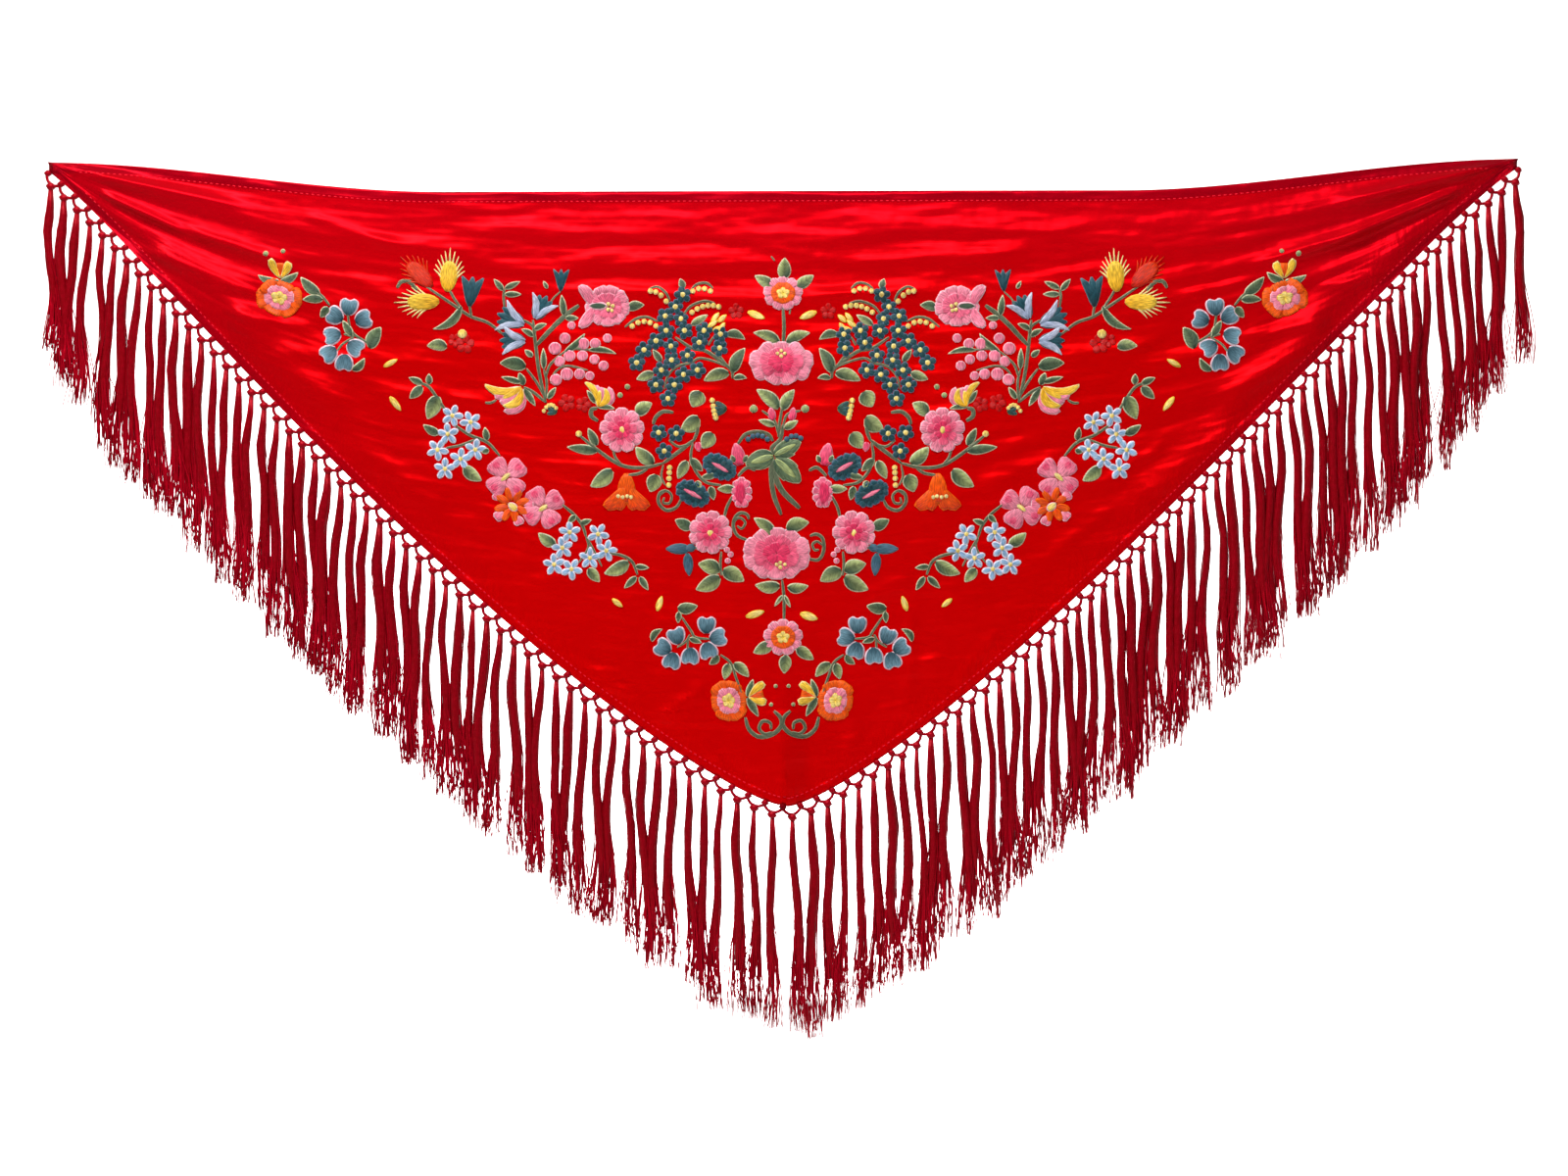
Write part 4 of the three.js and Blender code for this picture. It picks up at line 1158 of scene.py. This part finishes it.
# Across, down and radius.
LONE_KNOTS = [(-348, 187, 5), (-221, 296, 3.5)]
BUD_ENDS = [
    (-561, 100, 3), (-543, 97, 2.5), (-7, 570, 2.2), (-12, 590, 2.2), (-168, 245, 3), (-176, 254, 3),
]
# Across and down of both ends, how far the string bows up, the number of knots and their radius. The
# last two strings are blue and the others yellow.
STRINGS = [
    (-163, 179, -137, 179, 5, 5, 3), (-143, 141, -126, 152, 3, 4, 3), (-97, 141, -78, 141, 3, 4, 3),
    (-98, 164, -69, 158, 4, 6, 3), (-122, 333, -123, 352, 1, 4, 3), (-76, 260, -72, 279, -2, 5, 3),
    (-259, 271, -246, 268, 5, 6, 2.3), (-37, 302, -16, 302, 4, 5, 3), (5, 302, 20, 301, 3, 4, 3),
]


def string(x0, down0, x1, down1, bow, count, radius):
    """Rows for knots at even steps from one end to the other, raised by a parabola."""
    t = np.linspace(0, 1, count)
    across = x0 + (x1 - x0) * t
    down = down0 + (down1 - down0) * t - 4 * bow * t * (1 - t)
    return dots(np.stack([across, down, radius + 0 * t], axis=-1))


strings = [string(*row) for row in STRINGS]
yellow_knots = np.concatenate(strings[:-2] + [dots(LONE_KNOTS)])
blue_knots = np.concatenate(strings[-2:])
fan_leaf = fan(FAN_LEAVES, [(30, 1, 0.4, 0), (0, 1, 0.4, 0), (-30, 1, 0.4, 0)])
embroider(
    "berries_and_seeds",
    [
        petals(both(dots(BERRIES)), (PINK_PALE, PINK_MID, PINK_RIM),
               shape=ROUND, dome=1.5, cells=(6, 4)),
        petals(both(yellow_knots), (CREAM, YOLK, CREAM),
               shape=ROUND, dome=1.6, lift=0.9, rim_width=0.4),
        petals(blue_knots, (TEAL, NAVY_RIM, TEAL_RIM), shape=ROUND, dome=1.4, lift=0.9, rim_width=0.4),
        petals(both(SEEDS), YELLOW_SEED, shape=(0.6, 0.7), rim_width=0.8),
        petals(MIDDLE_SEEDS, YELLOW_SEED, shape=(0.6, 0.7), rim_width=0.8),
        petals(both(dots(BUD_ENDS)), BUD_GREEN, shape=ROUND, rim_width=0.5),
        petals(both(whorl(RED_FLOWERS, 5, 0.1, 1.0, 0.8)), (RED_FLOSS, RED_FLOSS, RED_FLOSS),
               lift=0.2, dome=0.6),
        petals(both(fan_leaf), (LEAF_DARK, TEAL, LEAF_MID), shape=(0.4, 0.4), groove=0.4, rim_width=0.5),
        petals(dots([(-31, 269, 4.5), (25, 269, 4.5)]), BUD_GREEN, shape=(0.5, 0.6), rim_width=0.6),
    ],
)


# Knotted heading
# Silk cord tied into the hem at even steps. Two legs of cord hang from each hem knot, and two legs of
# neighbouring knots meet in a larger knot from which a strand of the fringe falls.
CELLS = {"left": 54, "right": 56}
CORD_RADIUS = 1.8
CORD_BOW = 1.7
HEM_KNOT = (7.2, 4.2)
HEM_KNOT_DISTANCE = 2.2
STRAND_KNOT = (9.6, 5.2)
KNOT_DISTANCE = 9.0
CROTCH_DISTANCE = 4.3
HEADING_DEPTH = 0.8
HEADING_SHADE = 0.35
LEG_POINTS = 8
LEG_SIDES = 6
STRAND_KNOT_DROP = 3.2
KNOT_RINGS = 7
KNOT_SIDES = 8
KNOT_RIDGES = 3
KNOT_RIDGE_HEIGHT = 0.13
KNOT_TWIST = 9
KNOT_FLATNESS = 0.85

# A peg of cord sits in the hem behind each hem knot: how far outward from the edge each of its rings
# lies, and their radii. The legs start at its last ring.
PEG_DISTANCES = (-1.2, 1.2, 3.0, CROTCH_DISTANCE)
PEG_RADII = (2.4, 3.8, 3.2, 1.7)
PEG_SIDES = 8


def tubes(paths, radii, sides):
    """Closed round tubes along paths of shape (tubes, points, 3): at each point a ring of corners
    square to the path's direction, radii away. Gives the points, the side quads and the end caps."""
    forward = np.gradient(paths, axis=1)
    forward /= np.linalg.norm(forward, axis=2, keepdims=True)
    side = np.cross(forward, (0.0, 1.0, 0.0))
    side /= np.linalg.norm(side, axis=2, keepdims=True)
    up = np.cross(forward, side)
    angle = 2 * np.pi * np.arange(sides) / sides
    radii = np.broadcast_to(radii, paths.shape[:2])[..., None, None]
    ring = side[:, :, None] * np.cos(angle)[:, None] + up[:, :, None] * np.sin(angle)[:, None]
    points = paths[:, :, None] + radii * ring
    count, length = paths.shape[:2]
    grid = np.arange(count * length * sides).reshape(count, length, sides)
    following = np.roll(grid, -1, axis=2)
    quads = np.stack([grid[:, :-1], following[:, :-1], following[:, 1:], grid[:, 1:]], axis=-1)
    caps = np.concatenate([grid[:, 0, ::-1], grid[:, -1]])
    return points.reshape(-1, 3), quads.reshape(-1, 4), caps


def heading(side):
    """Where the cells of one side stand: x, z and the outward direction at every half cell."""
    start, end = (0, MIDDLE) if side == "left" else (MIDDLE, SPAN)
    return edge_path(start, end, 2 * CELLS[side] + 1)


def outward_points(x, z, outward, distance):
    """Points moved outward from the edge by a distance, in the heading's depth."""
    px = x + outward[:, 0] * distance
    pz = z + outward[:, 1] * distance
    return np.stack([px, satin_front(x, z) + HEADING_DEPTH, pz], axis=-1)


silk_finish = Finish(
    "dark red silk",
    {"Roughness": 0.36, "Specular IOR Level": 0.6, "Specular Tint": (1, 0.05, 0.08, 1)},
)
SILK_DARK = np.array([0.115, 0.0, 0.0])
SILK_LIGHT = np.array([0.34, 0.001, 0.008])
SILK_GLINT = (0.42, 0.001, 0.015)
tone = silk_finish.attribute("floss")
strand_noise = silk_finish.noise(silk_finish.place(), 260.0, 1.0)
silk_finish.feed("Base Color", silk_finish.mix(strand_noise * 0.4, tone, SILK_GLINT))
silk_finish.raise_by(strand_noise, 0.4)


def floss(shades):
    """A colour for every point: dark silk at a shade of 0, light silk at 1."""
    colours = SILK_DARK + (SILK_LIGHT - SILK_DARK) * shades[:, None]
    return np.concatenate([colours, np.ones((len(colours), 1))], axis=1)


def knots(centres, length, radius):
    """Twisted knots: balls drawn out along z, with ridges that wind round them."""
    t = np.linspace(0.04, 0.96, KNOT_RINGS)[:, None]
    angle = 2 * np.pi * np.arange(KNOT_SIDES) / KNOT_SIDES
    ridged = 1 + KNOT_RIDGE_HEIGHT * np.cos(KNOT_RIDGES * angle + KNOT_TWIST * t)
    wide = radius * np.sin(np.pi * t) ** 0.6 * ridged
    high = length * (0.5 - t) + 0 * angle
    body = np.stack([wide * np.cos(angle), wide * np.sin(angle) * KNOT_FLATNESS, high], axis=-1)
    points = centres[:, None, None] + body
    grid = np.arange(len(centres) * KNOT_RINGS * KNOT_SIDES).reshape(len(centres), KNOT_RINGS, KNOT_SIDES)
    following = np.roll(grid, -1, axis=2)
    quads = np.stack([grid[:, :-1], grid[:, 1:], following[:, 1:], following[:, :-1]], axis=-1)
    caps = np.concatenate([grid[:, 0], grid[:, -1, ::-1]])
    return points.reshape(-1, 3), quads.reshape(-1, 4), caps


for side in ("left", "right"):
    x, z, outward = heading(side)
    hem_x, hem_z, hem_out = x[::2], z[::2], outward[::2]
    knot_x, knot_z, knot_out = x[1::2], z[1::2], outward[1::2]
    rings = [outward_points(hem_x, hem_z, hem_out, distance) for distance in PEG_DISTANCES]
    pegs = tubes(np.stack(rings, axis=1), PEG_RADII, PEG_SIDES)
    root = outward_points(knot_x, knot_z, knot_out, KNOT_DISTANCE)
    reach = np.linspace(0, 1, LEG_POINTS)[:, None]
    bow = CORD_BOW * np.stack([knot_out[:, 0], 0 * knot_x, knot_out[:, 1]], axis=-1)
    legs = [
        first[:, None] + (root - first)[:, None] * reach + np.sin(np.pi * reach) * bow[:, None]
        for first in (rings[-1][:-1], rings[-1][1:])
    ]
    legs = tubes(np.concatenate(legs), CORD_RADIUS, LEG_SIDES)
    hem_knots = knots(outward_points(hem_x, hem_z, hem_out, HEM_KNOT_DISTANCE), *HEM_KNOT)
    strand_knots = knots(root - (0, 0, STRAND_KNOT_DROP), *STRAND_KNOT)
    points, faces = joined([pegs, legs, hem_knots, strand_knots])
    colours = floss(np.full(len(points), HEADING_SHADE))
    make_piece(f"heading_{side}", points, faces, silk_finish.material, "fringe_silk", floss=colours)


# Fringe
# A strand of loose silk threads falls from each knot. It is narrow below the knot, waves a little,
# leans against its neighbours lower down and ends in a ragged, frayed brush. A closed core fills it.
STRAND_LENGTH = {"left": 230, "right": 240}
STRAND_START = 5.5
LENGTH_SPREAD = 8
CORNER_SHORTER = 46
CORNER_CELLS = 9
THREADS = 42
THREAD_POINTS = 12
THREAD_RADIUS = 0.7
THREAD_SIDES = 3
CORE_SIDES = 8

# How far a strand moves on its way down: outward from the edge, steadily to one side, to one side at
# once, forward, and in waves of which so many fit in its length.
STRAND_OUTWARD = 6
STRAND_SWAY = 1.5
STRAND_LEAN = 7.5
STRAND_FORWARD = 3
STRAND_WAVE = 1.9
STRAND_WAVES = 1.4

# Half the width and half the depth of a bundle at its top, what each gains just below the knot and
# what it gains in the brush. The core has a radius at its top and a gain.
BUNDLE_WIDE = (2.3, 2.6, 4.8)
BUNDLE_DEEP = (1.8, 0.8, 1.6)
CORE_RADIUS = (2.2, 2.2)

# How far each thread winds round its bundle, in radians, and its waves: height in millimetres, radians
# in the length of the strand and how often the thread's own phase counts. The third is in the brush.
THREAD_TURN = 1.5
THREAD_WAVES = [(0.55, 9, 1), (0.4, 23, 2)]
BRUSH_WAVE = (1.6, 17, 3)
THREAD_STRAY = 2.2
THREAD_TAPER = 0.25


def strand_paths(side):
    """Centres of the strands of one side, from the knot down, in even shares of their length."""
    x, z, outward = heading(side)
    x, z, outward = x[1::2], z[1::2], outward[1::2]
    number = np.arange(len(x)) + (0 if side == "left" else CELLS["left"])
    root = outward_points(x, z, outward, KNOT_DISTANCE) - (0, 0, STRAND_START)
    from_corner = np.minimum(number, CELLS["left"] + CELLS["right"] - 1 - number) + 0.5
    near_corner = 1 - smooth(from_corner / CORNER_CELLS)
    length = STRAND_LENGTH[side] + LENGTH_SPREAD * scatter(number, 1) - CORNER_SHORTER * near_corner
    length = length - STRAND_START
    s = np.linspace(0, 1, THREAD_POINTS)
    away = STRAND_OUTWARD * outward[:, 0, None] * smooth(s * 3.5)
    sway = STRAND_SWAY * scatter(number, 5)[:, None] * s
    sway = sway + STRAND_LEAN * scatter(number, 6)[:, None] * smooth(1.3 * s)
    turns = STRAND_WAVES * s + scatter(number, 7)[:, None]
    wave = STRAND_WAVE * np.sin(2 * np.pi * turns) * smooth(s * 4)
    path = np.zeros((len(x), THREAD_POINTS, 3))
    path[..., 0] = root[:, 0, None] + away + sway + wave
    path[..., 1] = root[:, 1, None] - STRAND_FORWARD * scatter(number, 9)[:, None] * s
    path[..., 2] = root[:, 2, None] - length[:, None] * s
    return path, length


draw = np.random.default_rng(7)
for side in ("left", "right"):
    path, length = strand_paths(side)
    strands = len(path)
    s = np.linspace(0, 1, THREAD_POINTS)
    stout = 1 + 0.2 * scatter(np.arange(strands), 4)[:, None]
    top, gain = CORE_RADIUS
    core_radius = (top + gain * smooth(s * 6)) * (1 - 0.8 * smooth(s * 3.2 - 1.9))
    core = tubes(path[:, :-2], (stout * core_radius)[:, :-2], CORE_SIDES)

    # Each thread has its place in the bundle, winds part of the way round it and wavers in the brush.
    each = (strands, THREADS, 1)
    around = draw.uniform(0, 2 * np.pi, each)
    inside = draw.uniform(0.35, 1.0, each) ** 0.6
    stray = draw.normal(0, 1, each)
    phase = draw.uniform(0, 2 * np.pi, each)
    shorter = draw.uniform(0, 1, each) ** 2
    top, gain, brush = BUNDLE_WIDE
    half_wide = (top + gain * smooth(s * 6) + brush * smooth(s * 1.9 - 0.8)) * stout[:, None]
    top, gain, brush = BUNDLE_DEEP
    half_deep = top + gain * smooth(s * 11) + brush * smooth(s * 1.9 - 0.9)
    turn = around + THREAD_TURN * s
    wander = sum(height * np.sin(rate * s + times * phase) for height, rate, times in THREAD_WAVES)
    height, rate, times = BRUSH_WAVE
    wander = wander + height * np.sin(rate * s + times * phase) * smooth(3 * s - 2)
    threads = np.repeat(path[:, None], THREADS, axis=1)
    astray = THREAD_STRAY * stray * np.abs(stray) * smooth(s * 2 - 1)
    threads[..., 0] += inside * half_wide * np.cos(turn) + wander * smooth(s * 4) + astray
    threads[..., 1] += inside * half_deep * np.sin(turn) + 0.5 * wander * smooth(s * 4)
    threads[..., 2] += (0.1 * shorter - 0.02) * length[:, None, None] * s**2
    radii = THREAD_RADIUS * (1 - THREAD_TAPER * s**3)
    bundle = tubes(threads.reshape(-1, THREAD_POINTS, 3), radii, THREAD_SIDES)
    points, faces = joined([core, bundle])
    shades = 0.9 * draw.uniform(0, 1, each) + 0.6 * smooth(s * 2.4 - 1.3)
    colours = floss(np.concatenate([np.zeros(len(core[0])), np.repeat(shades.ravel(), THREAD_SIDES)]))
    fringe = make_piece(f"fringe_{side}", points, faces, silk_finish.material, "fringe_silk", floss=colours)
    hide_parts(f"{side}_fringe")


# Stage
# A plain pale floor that curves up into a wall all round, and soft light from large lamps.
FLOOR_Z = -1250
FLAT_RADIUS = 3500
WALL_RADIUS = 8000
WALL_HEIGHT = 4200
BOWL_RINGS = 60
BOWL_CORNERS = 97
SKY_LIGHT = 0.16

radius = np.linspace(0.001, WALL_RADIUS, BOWL_RINGS)[:, None]
turn = np.linspace(0, 2 * np.pi, BOWL_CORNERS)[None, :]
rise = np.clip((radius - FLAT_RADIUS) / (WALL_RADIUS - FLAT_RADIUS), 0, 1)
bowl = np.stack(
    [
        MIDDLE + radius * np.cos(turn),
        radius * np.sin(turn),
        FLOOR_Z + WALL_HEIGHT * rise**2 + 0 * turn,
    ],
    axis=-1,
)
grid = np.arange(bowl.shape[0] * bowl.shape[1]).reshape(bowl.shape[:2])
bowl_quads = np.stack([grid[:-1, :-1], grid[1:, :-1], grid[1:, 1:], grid[:-1, 1:]], axis=-1)
stage_mesh = bpy.data.meshes.new("stage")
stage_mesh.from_pydata((bowl.reshape(-1, 3) * MM).tolist(), [], bowl_quads.reshape(-1, 4).tolist())
stage_mesh.shade_smooth()
stage = bpy.data.objects.new("stage", stage_mesh)
bpy.context.collection.objects.link(stage)
paper_finish = Finish("pale paper", {"Base Color": (0.9, 0.9, 0.9, 1), "Roughness": 0.9})
stage_mesh.materials.append(paper_finish.material)

world = bpy.data.worlds.new("world")
world.use_nodes = True
sky = world.node_tree.nodes["Background"]
sky.inputs["Color"].default_value = (1, 1, 1, 1)
sky.inputs["Strength"].default_value = SKY_LIGHT
bpy.context.scene.world = world
bpy.context.scene.view_settings.view_transform = "Standard"

# Lamps: place, what each points at, its width and height in metres, and its power in watts.
LAMPS = {
    "key": ((220, -1400, 1550), (800, 0, -350), 2.2, 0.45, 105),
    "floor": ((800, 2600, 1500), (800, 2700, -1250), 3.0, 2.0, 130),
    "back": ((800, 2800, 1500), (800, 0, -300), 2.5, 2.5, 10),
    "wall": ((800, 2400, 400), (800, 8000, 200), 2.5, 2.5, 460),
}
for name, (position, target, width, height, power) in LAMPS.items():
    lamp_data = bpy.data.lights.new(name, "AREA")
    lamp_data.shape = "RECTANGLE"
    lamp_data.size, lamp_data.size_y = width, height
    lamp_data.energy = power
    lamp = bpy.data.objects.new(name, lamp_data)
    lamp.location = Vector(position) * MM
    lamp.rotation_euler = (Vector(target) - Vector(position)).to_track_quat("-Z", "Y").to_euler()
    lamp.visible_camera = False
    bpy.context.collection.objects.link(lamp)
